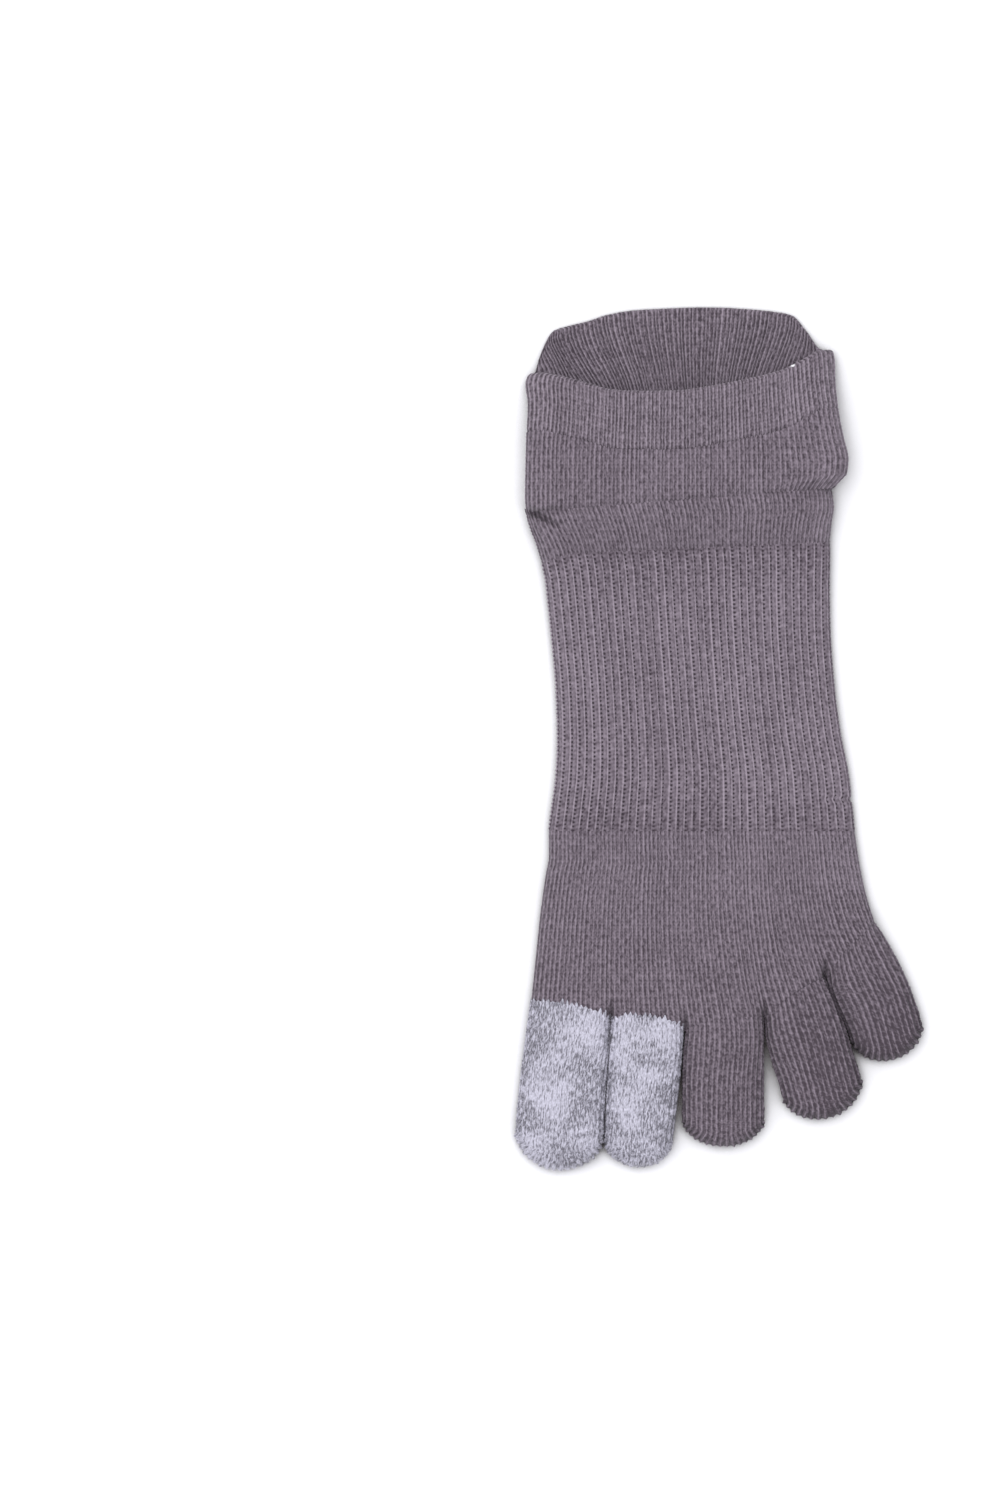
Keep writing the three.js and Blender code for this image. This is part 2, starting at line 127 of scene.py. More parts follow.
LEG = {
    "along": (0, 0.05, 0.1, 0.2, 0.36, 0.55, 0.78, 0.92, 1),
    "left": (0.527, 0.53, 0.532, 0.5315, 0.53, 0.528, 0.524, 0.5315, 0.522),
    "right": (0.46, 0.483, 0.503, 0.508, 0.493, 0.477, 0.467, 0.465, 0.46),
    "puff": (0.8, 1.08, 1.22, 1.24, 1.14, 1.1, 1.16, 1.26, 1.35),
}
RIM = {
    "along": (-1, -0.96, -0.87, -0.77, -0.62, -0.5, -0.32, 0.02,
              0.26, 0.48, 0.65, 0.77, 0.875, 0.96, 1),
    "front": (0, 0.01, 0.12, 0.28, 0.54, 0.76, 0.9, 1,
              0.905, 0.77, 0.63, 0.44, 0.18, 0, 0),
    "back": (0, 0.38, 0.75, 0.81, 0.88, 0.96, 1, 0.975,
             0.93, 0.85, 0.77, 0.68, 0.36, 0.04, 0),
}
ROOTS = {
    "across": (-0.463, -0.232, -0.015, 0.216, 0.391, 0.537),
    "along": (0.954, 1.037, 1.088, 1.037, 0.81, 0.513),
}
TOES = {
    "name": ("big_toe", "second_toe", "third_toe", "fourth_toe", "little_toe"),
    "length": (1, 0.963, 0.795, 0.775, 0.73),
    "width": (1, 0.76, 0.915, 0.92, 0.825),
    "end": (0.92, 0.88, 0.72, 0.8, 0.85),
    "lean": (-5.2, -4.6, -0.4, 16.7, 24.2),
    "curl": (-3, 0, 0, 4, 18),
    "puff": (0.96, 0.9, 0.92, 0.9, 0.88),
    "ear": (-1, 0, 1, 1, 1),
    "swell_left": (0, 0.7, 0.8, 1.1, 0.9),  # in millimetres, towards the neighbour
    "swell_right": (0.7, 0.3, 0, 0.5, 0),
    "swell_kept": (0.8, 0.8, 0.7, 0, 0),  # share of it that is left at the tip
}
print("columns in each table:", [len(table["along"]) for table in (INSTEP, ARCH, FOREFOOT, LEG, RIM)])

# %% [markdown]
# ### Curves through the tables
# Straight lines between the columns would leave corners in the cloth, and most
# smooth curves swing past the values they join. This one never does, which is
# why so few columns are enough. Its slope is 0 wherever a row of values turns.


# %% Curves through the tables
def smooth(table, row, at):
    """A smooth value between a table's columns that never overshoots them."""
    x = np.array(table["along"], float)
    y = np.array(table[row], float)
    slope = np.diff(y) / np.diff(x)
    both = slope[:-1] * slope[1:]
    total = np.where(both > 0, slope[:-1] + slope[1:], 1)
    tangent = np.concatenate([slope[:1], np.where(both > 0, 2 * both / total, 0), slope[-1:]])
    at = np.clip(at, x[0], x[-1])
    i = np.clip(np.searchsorted(x, at, side="right") - 1, 0, len(x) - 2)
    run = x[i + 1] - x[i]
    t = (at - x[i]) / run
    ends = y[i] * (1 + 2 * t) * (1 - t) ** 2 + y[i + 1] * t * t * (3 - 2 * t)
    return ends + run * (tangent[i] * t * (1 - t) ** 2 + tangent[i + 1] * t * t * (t - 1))


def mix(a, b, t):
    return a + (b - a) * t


def step(low, high, x):
    """0 below low, 1 above high, and a smooth rise between."""
    t = np.clip((x - low) / (high - low), 0, 1)
    return t * t * (3 - 2 * t)


def bell(x, width):
    return np.exp(-((x / width) ** 2))


print("forefoot width halfway:", round(float(sum(smooth(FOREFOOT, r, 0.5) for r in ("left", "right")))
                                       * BALL_WIDTH, 1), "mm")

# %% [markdown]
# ## The section of a flattened tube
# Squash a knitted tube and it does not become a sharp-edged strip. The cloth turns
# round each side in a small half circle, lies flat below, and bulges a little
# above, because the two layers push each other apart. The formula walks along
# the cloth itself from fold to fold. Equal steps along the cloth are equal
# numbers of stitches, so the columns of stitches crowd together where they turn
# out of sight round the side, as they do on the real thing.

# %% The section
QUARTER = math.pi / 2


def across_cloth(s, half, fold):
    """s runs from -1 at the left fold to 1 at the right one, along the cloth."""
    hidden = (QUARTER - 1) * fold
    walked = (half + hidden) * (1 - np.abs(s))
    turn = np.clip(walked / fold, 0, QUARTER)
    in_fold = walked < QUARTER * fold
    edge = np.where(in_fold, fold * (1 - np.cos(turn)), walked - hidden)
    return np.sign(s) * (half - edge), fold * np.sin(turn), edge


def crowned(edge, reach=PUFF_REACH):
    """Share of the puff at a distance from the edge."""
    level = np.clip(edge / reach, 0, 1)
    return 1 - (1 - level) ** 2


def ring_columns(wales, over, under):
    """Points round a section: over and under are points for each column of stitches."""
    top = np.linspace(-1, 1, wales * over, endpoint=False)
    low = np.linspace(1, -1, wales * under, endpoint=False)
    s = np.concatenate([top, low])
    is_top = np.arange(len(s)) < len(top)
    count = np.concatenate([np.arange(len(top)) / over, wales + np.arange(len(low) + 1) / under])
    return s[None, :], is_top[None, :], count[None, :]


def uneven(s, amount):
    """Wales that lie a little closer together here and a little further apart there."""
    return s + amount * (np.sin(37 * s + 1) + np.sin(83 * s)) * (1 - s ** 2)


def tube(rows, s, is_top, fold, width, y_at, base_at=None, puff_at=None, inset=0.0):
    """Points of a flattened tube. rows holds left, right and puff for each row."""
    left, right, puff = [rows[k][:, None] for k in ("left", "right", "puff")]
    half = (left + right) * width / 2 - inset
    middle = (right - left) * width / 2
    bend = fold - inset
    across, lift, edge = across_cloth(s, half, bend)
    x = middle + across
    share = across / (half + inset)
    y = y_at(x, share, is_top)
    base = (base_at(x, y) if base_at else 0) + inset
    crown = puff * PUFF * (puff_at(share) if puff_at else 1) * crowned(edge, PUFF_REACH - inset)
    z = base + bend + np.where(is_top, lift + crown, -lift)
    return np.stack(np.broadcast_arrays(x, y, z), -1)


demo = across_cloth(np.array([-1, -0.95, 0]), 45, FOLD)
print("height round a fold in mm:", np.round(demo[1], 2))

# %% [markdown]
# ## Raising the stitches
# Plain knit shows one raised column for each wale, with a gap at each side of it
# and a shallow groove down its middle where the two legs of every stitch meet.
# Across the column the stitches follow each other as a row of V shapes. The arch
# band is a tuck rib. There a strong smooth wale is followed by a weaker one that
# is pulled open, which leaves a line of small holes. Each of these is a height
# above the cloth that depends only on how many wales and how many rows have
# passed. The fold line and the puff never enter into it, so one formula serves
# every piece made in the same stitch.

# %% Relief of the stitches, in millimetres
FUZZ = 0.025  # how uneven the cloth is from one point to the next
TUCK_FUZZ = 0.015
rng = np.random.default_rng(20)
WALE_MOODS = rng.uniform(-1, 1, 512)


def mood(wale):
    """A lasting difference between one wale and the next, from -1 to 1."""
    return WALE_MOODS[np.floor(wale).astype(int) % len(WALE_MOODS)]


def plain_knit(wale, row, height=0.22, vee=0.05):
    side = np.abs(2 * (wale - np.floor(wale)) - 1)
    ridge = 1 - side ** 1.5
    vees = np.cos(2 * np.pi * (row + 0.5 * side))
    fuzz = rng.normal(0, FUZZ, np.broadcast(wale, row).shape)
    return height * (ridge * (1 + 0.25 * mood(wale)) - 0.55) + vee * vees * ridge + fuzz


def strong_knit(wale, row):
    """The same stitch in the ankle and the instep, where the cloth isn't stretched."""
    return plain_knit(wale, row, 0.3, 0.06)


def tuck_rib(wale, row, height=0.3):
    f = wale - np.floor(wale)
    row = row + 0.5 * (np.floor(wale) % 2)
    strong = bell(f - 0.25, 0.11) * (1 + 0.35 * np.cos(2 * np.pi * row))
    weak = step(0.56, 0.68, f) * step(1.04, 0.92, f)
    holes = bell(f - 0.48, 0.09) * (0.5 + 0.5 * np.cos(2 * np.pi * row))
    vees = np.cos(2 * np.pi * (row + 0.5 * np.abs(2 * f - 1)))
    fuzz = rng.normal(0, TUCK_FUZZ, np.broadcast(wale, row).shape)
    return height * (strong + 0.6 * weak - 0.5 - holes) + 0.06 * vees * (weak + 0.3) + fuzz


def double_rib(wale, row, height=0.42):
    ridge = np.abs(np.sin(np.pi * (wale - np.floor(wale)))) ** 1.2
    fuzz = rng.normal(0, FUZZ, np.broadcast(wale, row).shape)
    return height * (ridge * (0.8 + 0.4 * mood(wale)) - 0.6) + 0.05 * np.cos(2 * np.pi * row) + fuzz


def raised(points, height):
    """Points moved out of the cloth by a height. Rows run towards the cuff."""
    across = np.roll(points, -1, 1) - np.roll(points, 1, 1)
    along = np.gradient(points, axis=0)
    out = np.cross(across, along)
    out /= np.maximum(np.linalg.norm(out, axis=-1, keepdims=True), 1e-9)
    return points + out * height[..., None]


print("plain knit is deepest at a gap:", round(float(plain_knit(0.0, 0.0)), 2), "mm")

# %% [markdown]
# ## From points to a mesh
# A grid of points that closes on itself becomes a mesh of four-sided faces. Each
# corner also keeps its count of wales and rows as a UV coordinate. The materials
# read these counts, so their light and dark places fall exactly on the raised and
# sunken ones, and turn with the stitches in the curved toes.

# %% Mesh maker
SEAM_REACH = 0.002  # points of a closing seam that lie this close become one
DIP = 0.6  # length over which a section's end dips under its neighbour
made = []


def wrapped(values, shape):
    """Values for each column and once more for the first, where the ring closes."""
    full = np.broadcast_to(values, shape)
    return np.concatenate([full, full[:, :1]], axis=1)


def knit_mesh(node, points, wale, row, slot_name, closed_row=None):
    rows, columns = points.shape[:2]
    wale = np.broadcast_to(wale, (rows, columns + 1))
    row = wrapped(row, (rows, columns))
    j, i = np.meshgrid(np.arange(rows - 1), np.arange(columns), indexing="ij")
    corner = [(j, i), (j, i + 1), (j + 1, i + 1), (j + 1, i)]
    faces = np.stack([a * columns + b % columns for a, b in corner], -1).reshape(-1, 4)
    uv = np.stack([np.stack([wale[a, b], row[a, b]], -1) for a, b in corner], -2)
    mesh = bpy.data.meshes.new(node + "_knit")
    mesh.from_pydata(points.reshape(-1, 3).tolist(), [], faces.tolist())
    layer = mesh.uv_layers.new(name="stitches")
    layer.data.foreach_set("uv", uv.astype(np.float32).ravel())
    mesh.polygons.foreach_set("use_smooth", np.ones(len(faces), bool))
    mesh.update()
    if closed_row is not None:
        sew_shut(mesh, range(closed_row * columns, (closed_row + 1) * columns))
    piece = bpy.data.objects.new(node + "_knit", mesh)
    bpy.context.scene.collection.objects.link(piece)
    made.append((piece, node, slot_name))
    print(piece.name, "has", 2 * len(mesh.polygons), "triangles")


def sew_shut(mesh, seam):
    """Joins the points of the upper and the lower cloth that meet along a seam."""
    sewn = bmesh.new()
    sewn.from_mesh(mesh)
    sewn.verts.ensure_lookup_table()
    bmesh.ops.remove_doubles(sewn, verts=[sewn.verts[k] for k in seam], dist=SEAM_REACH)
    sewn.to_mesh(mesh)
    sewn.free()


def tucked(past, depth=0.45):
    """How deep a section's end lies under its neighbour, past their border."""
    return depth * np.clip(past / DIP, 0, 1)


print("a section's end lies", float(tucked(1.0)), "mm under its neighbour")

# %% [markdown]
# ## The foot
# The forefoot, the arch band and the instep are three stretches of one tube. Each
# runs a little way under its neighbour, because in the real sock the rows of one
# stitch are looped into the rows of the other and no gap can be seen. Two slow
# waves in the upper cloth keep it from looking pressed. They are far wider
# than a stitch and only a fraction of a millimetre high.

# %% Lines across the foot
INNER_DROP = 2.2  # how much lower the arch band starts at the inner edge
root_x = np.array(ROOTS["across"]) * BALL_WIDTH
root_y = ARCH_END - np.array(ROOTS["along"]) * FOREFOOT_LENGTH


def crease_at(x):
    return CREASE_TILT / LEG_WIDTH * x


def arch_top_at(x):
    """The arch band starts a little lower at the inner side of the foot."""
    return ARCH_TOP + ARCH_TILT / ARCH_WIDTH * x - INNER_DROP * step(-34, -43, x)


def root_line_at(x):
    i = np.clip(np.searchsorted(root_x, x, side="right") - 1, 0, 4)
    u = np.clip((x - root_x[i]) / (root_x[i + 1] - root_x[i]), 0, 1)
    return mix(root_y[i], root_y[i + 1], u) + ROOT_BOW * 4 * u * (1 - u)


def slow_waves(x, y):
    long_wave = np.sin(x / 9 + y / 23 + 1.3) * np.sin(y / 14 - x / 31)
    return 0.16 * long_wave + 0.1 * np.sin(x / 5.3 - y / 11)


def ankle_folds(x, y):
    """Depth of the creases where the foot bends up into the leg."""
    inner = step(-30, -44, x)
    outer = step(24, 38, x)
    crease = (1.4 * inner + 1.6 * outer) * bell(y - crease_at(x) + 0.5, 1.2 + 0.9 * outer)
    filled = 0.55 * (1 - inner) * (1 - outer) * bell(y - crease_at(x), 1.9)
    wedge = 2.8 * step(-34, -42, x) * bell(y + 2.9 + 0.5 * (x + 47.3), 1.0)
    lip = 0.8 * inner * bell(y - crease_at(x) - 1.3, 1.3)
    band = 0.2 * bell(y - arch_top_at(x), 1.3) + 0.4 * bell(y - arch_top_at(x), 0.45)
    hollow = 0.5 * bell(y - crease_at(x) + 5.5, 2.6) * (0.3 + 0.7 * inner)
    return lip + filled - crease - wedge - band - hollow


def soften(points, is_top):
    """Adds waves, creases and a small step in the outer edge beside the ball of the foot."""
    x, y = points[..., 0], points[..., 1]
    points[..., 0] = x - 0.6 * bell(y + 86.8, 0.8) * step(36, 42, x)
    points[..., 2] += np.where(is_top, slow_waves(x, y) + ankle_folds(x, y), 0)
    return points


print("toe roots at X", np.round(root_x, 1), "and Y", np.round(root_y, 1))

# %% [markdown]
# ### One stretch of the foot
# The three stretches differ only in their table of shares, their stitch and the
# lines at which they begin and end, so one function makes them all. Where a row
# of stitches turns round a side fold its end stands out a little. That gives
# the outline the small bumps of a knitted edge, which a smooth tube would lack.

# %% One stretch of the foot
PLAIN_PITCH = 1.0  # distance from one row of stitches to the next
TUCK_PITCH = 1.19


def foot_section(node, table, width, wales, samples, rows, length, ends, fold_at, y_at, knit, pitch,
                 slot_name, reshape=None, spread=None, loops=0.0):
    """samples holds the points for each wale above and below, rows the number of rings.
    ends holds how far the section runs on under its neighbours, first and last.
    loops is how far the end of each row stands out at the side folds."""
    s, is_top, count = ring_columns(wales, *samples)
    s = uneven(s, 0.002)
    along = np.linspace(1 + ends[1] / length, -ends[0] / length, rows)
    shares = {k: smooth(table, k, along) for k in ("left", "right", "puff")}
    t = along[:, None]
    if spread:
        s = spread(s, t)
    points = tube(shares, s, is_top, fold_at(t), width, lambda x, share, top: y_at(x, share, t))
    if reshape:
        points = reshape(points, is_top, t)
    points = soften(points, is_top)
    row = -points[..., 1] / pitch
    past = (np.maximum(t - 1, 0) + np.maximum(-t, 0)) * length
    ease = 1 - 0.6 * bell(t * length, 1) - 0.6 * bell((1 - t) * length, 2)
    at_fold = bell(1 - np.abs(s), 0.03) * (0.5 + 0.5 * np.cos(2 * np.pi * row))
    height = knit(count[:, :-1], row) * ease - tucked(past) + loops * at_fold
    knit_mesh(node, raised(points, height), count, row, slot_name)


print("rows of stitches in the arch band:", round(ARCH_LENGTH / TUCK_PITCH))

# %% [markdown]
# ## The forefoot and the toe roots
# Where a foot's toes part, its sock parts too, and at each crotch the upper and
# the lower cloth come together. A dent pressed into a finished forefoot would
# look like a thumb mark. Here the forefoot's height changes over its last few
# millimetres into the height that the toes themselves start with, so that both
# run into each other and each crotch becomes a small valley by itself.

# %% Height of the cloth at the toe roots
TOE_FOLD = 2.7
TOE_PUFF = PUFF - 2 * (TOE_FOLD - FOLD)
TOE_REACH = 6
WEB = 7  # length over which the forefoot takes the shape of the toes


def toe_lift(edge):
    """Half the thickness between the folds of a toe, and its share of the puff."""
    rounded = np.clip(edge, 0, TOE_FOLD)
    return np.sqrt(np.maximum(TOE_FOLD ** 2 - (TOE_FOLD - rounded) ** 2, 0)), crowned(edge, TOE_REACH)


def parted(points, is_top, along):
    x = points[..., 0]
    i = np.clip(np.searchsorted(root_x, x, side="right") - 1, 0, 4)
    width = root_x[i + 1] - root_x[i]
    off = np.abs(2 * (x - root_x[i]) / width - 1)
    end_half = np.array(TOES["width"])[i] * TOE_WIDTH / 2
    lift, crown = toe_lift(end_half * np.clip(1 - off, 0, 1))
    toe_z = TOE_FOLD + np.where(is_top, lift + np.array(TOES["puff"])[i] * TOE_PUFF * crown, -lift)
    to_root = (1 - along) * (ARCH_END - root_line_at(x))
    points[..., 2] = mix(points[..., 2], toe_z, step(WEB, 0, to_root) ** 1.6)
    return points


print("height of the big toe:", round(2 * TOE_FOLD + TOES["puff"][0] * TOE_PUFF, 1), "mm")

# %% [markdown]
# The two smallest toes hold nearly as many wales as the others, although their
# roots lie close together. So the forefoot's wales lean over towards them, and
# they lie closer there. This shift grows along the forefoot until the roots.

# %% Forefoot, arch band and instep
FORE_WALES = 78
LEG_WALES = 72
FORE_RUN = 50  # from the arch band to the crotches, roughly
CROWD = 0.09  # how far wales are shifted, as a share of half the width
CROWD_PEAK = 1.185  # the most that (1 + s) ** 2 * (1 - s) can reach
CREASE_FOLD = (LEG_BASE + 2 * FOLD) / 2


def forefoot_y(x, share, along):
    return mix(ARCH_END, root_line_at(mix(root_x[0], root_x[-1], (share + 1) / 2)), along)


def crowded(s, along=1.0):
    shift = CROWD * np.clip(along, 0, 1) ** 2
    return s + shift * (1 + s) ** 2 * (1 - s) / CROWD_PEAK


foot_section("forefoot", FOREFOOT, BALL_WIDTH, FORE_WALES, (4, 2), 140, FORE_RUN, (0, 1.2),
             lambda t: FOLD + 0 * t, forefoot_y, plain_knit, PLAIN_PITCH, "charcoal_jersey",
             parted, crowded)
foot_section("arch_band", ARCH, ARCH_WIDTH, FORE_WALES // 2, (8, 4), 196, ARCH_LENGTH, (0, 1),
             lambda t: FOLD * smooth(ARCH, "fold", t),
             lambda x, share, t: mix(arch_top_at(x), ARCH_END, t), tuck_rib, TUCK_PITCH,
             "arch_rib", loops=0.4)
foot_section("instep", INSTEP, ARCH_WIDTH, LEG_WALES, (4, 2), 44, INSTEP_LENGTH, (1, 1),
             lambda t: mix(CREASE_FOLD, ARCH["fold"][0] * FOLD, step(0, 1, t)),
             lambda x, share, t: mix(crease_at(x), arch_top_at(x), t), strong_knit, PLAIN_PITCH,
             "charcoal_jersey", loops=0.3)

# %% [markdown]
# ## The leg and the cuff
# The leg lies on the folded heel and comes down to the surface behind it. The cuff
# is double: its cloth turns over at the rim and runs back down inside. The
# rim at the back rises over its two corners, and the columns of stitches fan
# out there so that they meet the rim squarely. They do so because the rim has
# the same number of stitches as the rest. Spacing them by length along the rim,
# not by distance across it, gives that fan without drawing it.

# %% Shape of the leg
LEVEL_SHARE = 1 - FOLD / (LEG_WIDTH / 2)


def rim_at(share, is_top):
    across = np.clip(share / LEVEL_SHARE, -1, 1)
    front = -smooth(RIM, "front", across) * FRONT_DIP
    back = smooth(RIM, "back", across) * (LEG_BACK - RIM_FOLD_AT)
    return RIM_FOLD_AT + RIM_TILT / 2 * share + np.where(is_top, front, back)


def leg_base_at(x, y):
    return LEG_BASE * (1 - step(HEEL_DEPTH, HEEL_DEPTH + LEG_LANDING, y - crease_at(x)))


fine = np.linspace(-1, 1, 400)
rim_path = np.hypot(np.diff(fine) * LEG_WIDTH / 2, np.diff(rim_at(fine, False)))
rim_walk = np.concatenate([[0], np.cumsum(rim_path)])
rim_walk = 2 * rim_walk / rim_walk[-1] - 1


def fanned(s, is_top, rise):
    """Wales meet the rim squarely: they spread upwards at the back and downwards at the front."""
    near_rim = step(0.3, 1, rise)
    spread = s * (1 - s ** 8)
    back = mix(s, np.interp(s, rim_walk, fine), 0.8 * near_rim) - 0.2 * spread * (1 - near_rim)
    return np.where(is_top, s - 0.04 * spread * near_rim, back)


def leg_points(s, is_top, rise, y_at, inset=0.0):
    """The knob above the crease pushes out the edge alone. The wales inside it stay straight."""
    rows = {k: smooth(LEG, k, rise) for k in ("left", "right", "puff")}
    r = rise[:, None]
    left, right = rows["left"][:, None], rows["right"][:, None]
    left0, right0 = LEG["left"][0], LEG["right"][0]
    straight = (s * (right0 + left0) + right0 - left0 - right + left) / (right + left)
    s = mix(straight, s, step(0.5, 1, np.abs(s)))

    def crown(share):
        return 1 + MOUTH_CROWN * r * r * (1 - share ** 2)

    points = tube(rows, fanned(s, is_top, r), is_top, FOLD, LEG_WIDTH, y_at, leg_base_at, crown, inset)
    return soften(points, is_top)


print("the rim is", round(float(rim_path.sum())), "mm long at the back, for a leg", LEG_WIDTH, "mm wide")

# %% [markdown]
# ### The ankle
# This is the plain leg between the crease and the cuff. It could run on under the
# cuff up to the rim, but two cloths in one place would show through each other.
# So it ends one millimetre past the border and dips under the cuff there.

# %% Ankle
ANKLE_LENGTH = RIM_FOLD_AT - CUFF_HEIGHT
s, is_top, count = ring_columns(LEG_WALES, 4, 2)
s = uneven(s, 0.003)
t = np.linspace(0, 1 + 1 / ANKLE_LENGTH, 90)


def ankle_y(x, share, top):
    return mix(crease_at(x), rim_at(share, top) - CUFF_HEIGHT, t[:, None])


points = leg_points(s, is_top, np.clip(t, 0, 1) * CUFF_START, ankle_y)
row = -points[..., 1]
height = strong_knit(count[:, :-1], row) - tucked(np.maximum(t - 1, 0)[:, None] * ANKLE_LENGTH)
knit_mesh("ankle", raised(points, height), count, row, "charcoal_jersey")

# %% [markdown]
# ### The cuff
# One cloth goes up outside, turns over at the rim and comes down inside. A thick
# tube with a flat end would have hard corners in its place. Here a single grid
# of points takes the whole way: up the outside, round a half circle, and down
# the inside as far as one can look into the mouth.

# %% Cuff, turned over at the rim and down the inside
CUFF_RIBS = 78
LIP = CUFF_WALL / 2
INSIDE = 26  # how far the inner cloth is followed, a little more than the mouth shows
s, is_top, count = ring_columns(CUFF_RIBS, 4, 4)
s = uneven(s, 0.003)
outer = np.linspace(1, 0, 46)
turn = np.linspace(0, np.pi, 9)[1:]
inner = np.linspace(0, 1, 50)[1:]
is_outer = (np.arange(len(outer) + len(turn) + len(inner)) < len(outer))[:, None]
below_rim = np.concatenate([LIP + outer * (CUFF_HEIGHT - LIP), LIP * (1 - np.sin(turn)),
                            LIP + inner * INSIDE])[:, None]
inset = np.concatenate([np.zeros(len(outer)), LIP * (1 - np.cos(turn)),
                        np.full(len(inner), CUFF_WALL)])[:, None]
rise = np.clip(1 - below_rim[:, 0] / CUFF_HEIGHT * (1 - CUFF_START), 0, 1)
points = leg_points(s, is_top, rise, lambda x, share, top: rim_at(share, top) - below_rim, inset)
row = below_rim * np.where(is_outer, 1, -1)
border = 0.45 * bell(below_rim - CUFF_HEIGHT, 0.5) * is_outer
height = double_rib(count[:, :-1], row) * (1 - 0.75 * bell(below_rim, 1.4)) - border
knit_mesh("cuff", raised(points, height), count, row, "rib_cuff")

# %% [markdown]
# ## The heel pocket
# A sock has a turned heel. Laid flat, the heel folds into a flat pocket under the
# leg. It can only be seen from below or from the side, so it gets the same stitch
# with fewer points. Its end has round corners, and both layers meet there.

# %% Heel pocket
HEEL_WALES = 60
s, is_top, count = ring_columns(HEEL_WALES, 2, 2)
straight = HEEL_DEPTH - HEEL_CORNER
bend = np.linspace(0, 1, 34)
rounded = straight + HEEL_CORNER * np.sin(bend * QUARTER)
depth = np.concatenate([[-0.6, 0, straight * 0.5], rounded])[:, None]
over = np.maximum(depth - straight, 0)
wide = HEEL_WIDTH / 2 - HEEL_CORNER + np.sqrt(np.maximum(HEEL_CORNER ** 2 - over ** 2, 0))
a = s * wide
out = np.maximum(np.abs(a) - (HEEL_WIDTH / 2 - HEEL_CORNER), 0)
edge = np.clip(HEEL_CORNER - np.hypot(out, over), 0, None)
low = np.clip(edge, 0, FOLD)
lift = np.sqrt(np.maximum(FOLD ** 2 - (FOLD - low) ** 2, 0))
x = (INSTEP["right"][0] - INSTEP["left"][0]) * ARCH_WIDTH / 2 + a
z = FOLD + np.where(is_top, lift + HEEL_PUFF * crowned(edge), -lift)
points = np.stack(np.broadcast_arrays(x, depth + crease_at(x), z), -1)
height = plain_knit(count[:, :-1], depth, 0.16)
height = (height - 0.08) * step(0, 1.5, edge)
knit_mesh("heel_pocket", raised(points, height), count, depth, "charcoal_jersey", len(depth) - 1)

# %% [markdown]
# ## The toes
# A toe starts as a tube at its root and ends in a flat round tip. On the real sock
# the columns of stitches run straight along the toe and spread like a fan over
# the last few millimetres, so that each one meets the round edge squarely. Rings
# that simply shrink to a point would pinch the stitches together there. Here
# every column is a straight line followed by a curve that leaves through the
# edge at a right angle, and the height comes from the distance to the edge.

# %% How the wales of the forefoot run on into a toe
TOE_WALES = (20, 16, 19, 17, 15)
fore_half = (FOREFOOT["left"][-1] + FOREFOOT["right"][-1]) * BALL_WIDTH / 2
fore_middle = (FOREFOOT["right"][-1] - FOREFOOT["left"][-1]) * BALL_WIDTH / 2
fore_cloth = fore_half + (QUARTER - 1) * FOLD


def wale_at_root(x):
    even = np.linspace(-1, 1, 400)
    return FORE_WALES * (1 + np.interp((x - fore_middle) / fore_cloth, crowded(even), even)) / 2


def wale_lean(x):
    """Angle at which the forefoot's wales reach the toe roots."""
    run = FOREFOOT["along"][-1] - FOREFOOT["along"][-2]
    widen = [(FOREFOOT[k][-1] - FOREFOOT[k][-2]) / run * BALL_WIDTH for k in ("left", "right")]
    share = (x - fore_middle) / fore_half
    drift = mix(-widen[0], widen[1], (share + 1) / 2)
    drift = drift + 2 * (crowded(share) - share) * fore_half
    return np.arctan2(drift, ARCH_END - root_line_at(x))


def first_wale(number):
    """Number of the first wale of a toe. New wales start at the crotches beside it."""
    if number == 0:
        return 0.0
    if number == 4:
        return float(FORE_WALES - TOE_WALES[number])
    ends = wale_at_root(root_x[number: number + 2])
    return float(np.round((ends.sum() - TOE_WALES[number]) * 2) / 4)


print("first wale of each toe:", [first_wale(number) for number in range(5)])

# %% [markdown]
# ### One toe's measures
# A toe leans outwards, curls a little and sits between two crotches. All of that
# follows from one column of the table, worked out once and kept together. Its
# root begins a little way off its crotch, so that two neighbours stand apart.

# %% One toe's measures
BESIDE = 0.2  # distance of a toe's root from the crotch at its side


class Toe:
    """The measures of one toe, in millimetres and radians."""

    def __init__(self, number):
        share = {row: values[number] for row, values in TOES.items()}
        self.share = share
        self.wales = TOE_WALES[number]
        self.first_wale = first_wale(number)
        self.roots = root_x[number: number + 2]
        self.lean = math.radians(share["lean"])
        self.curl = math.radians(share["curl"])
        start = np.array([root_x[number], root_y[number]])
        stop = np.array([root_x[number + 1], root_y[number + 1]])
        way = (stop - start) / np.linalg.norm(stop - start)
        self.start = start + way * (0 if number == 0 else BESIDE)
        self.stop = stop - way * (0 if number == 4 else BESIDE)
        self.first = self.lean + self.curl / 2  # its direction at the root
        across = self.stop - self.start
        self.root_half = across @ np.array([math.cos(self.first), math.sin(self.first)]) / 2
        self.slant = across @ np.array([math.sin(self.first), -math.cos(self.first)]) / 2
        self.length = share["length"] * TOE_LENGTH
        self.end_half = share["width"] * TOE_WIDTH / 2
        self.hidden = (QUARTER - 1) * TOE_FOLD
        self.rim = self.end_half + self.hidden


print("half widths at the roots:", [round(float(Toe(number).root_half), 1) for number in range(5)])

# %% [markdown]
# ### The wales of a toe, laid out flat
# The wales leave the forefoot where its own wales arrive, at the same angle, and
# settle into even spacing on the way. At the tip each one bends into the fan.
# Wales drawn straight from root to tip would show a kink along the roots.

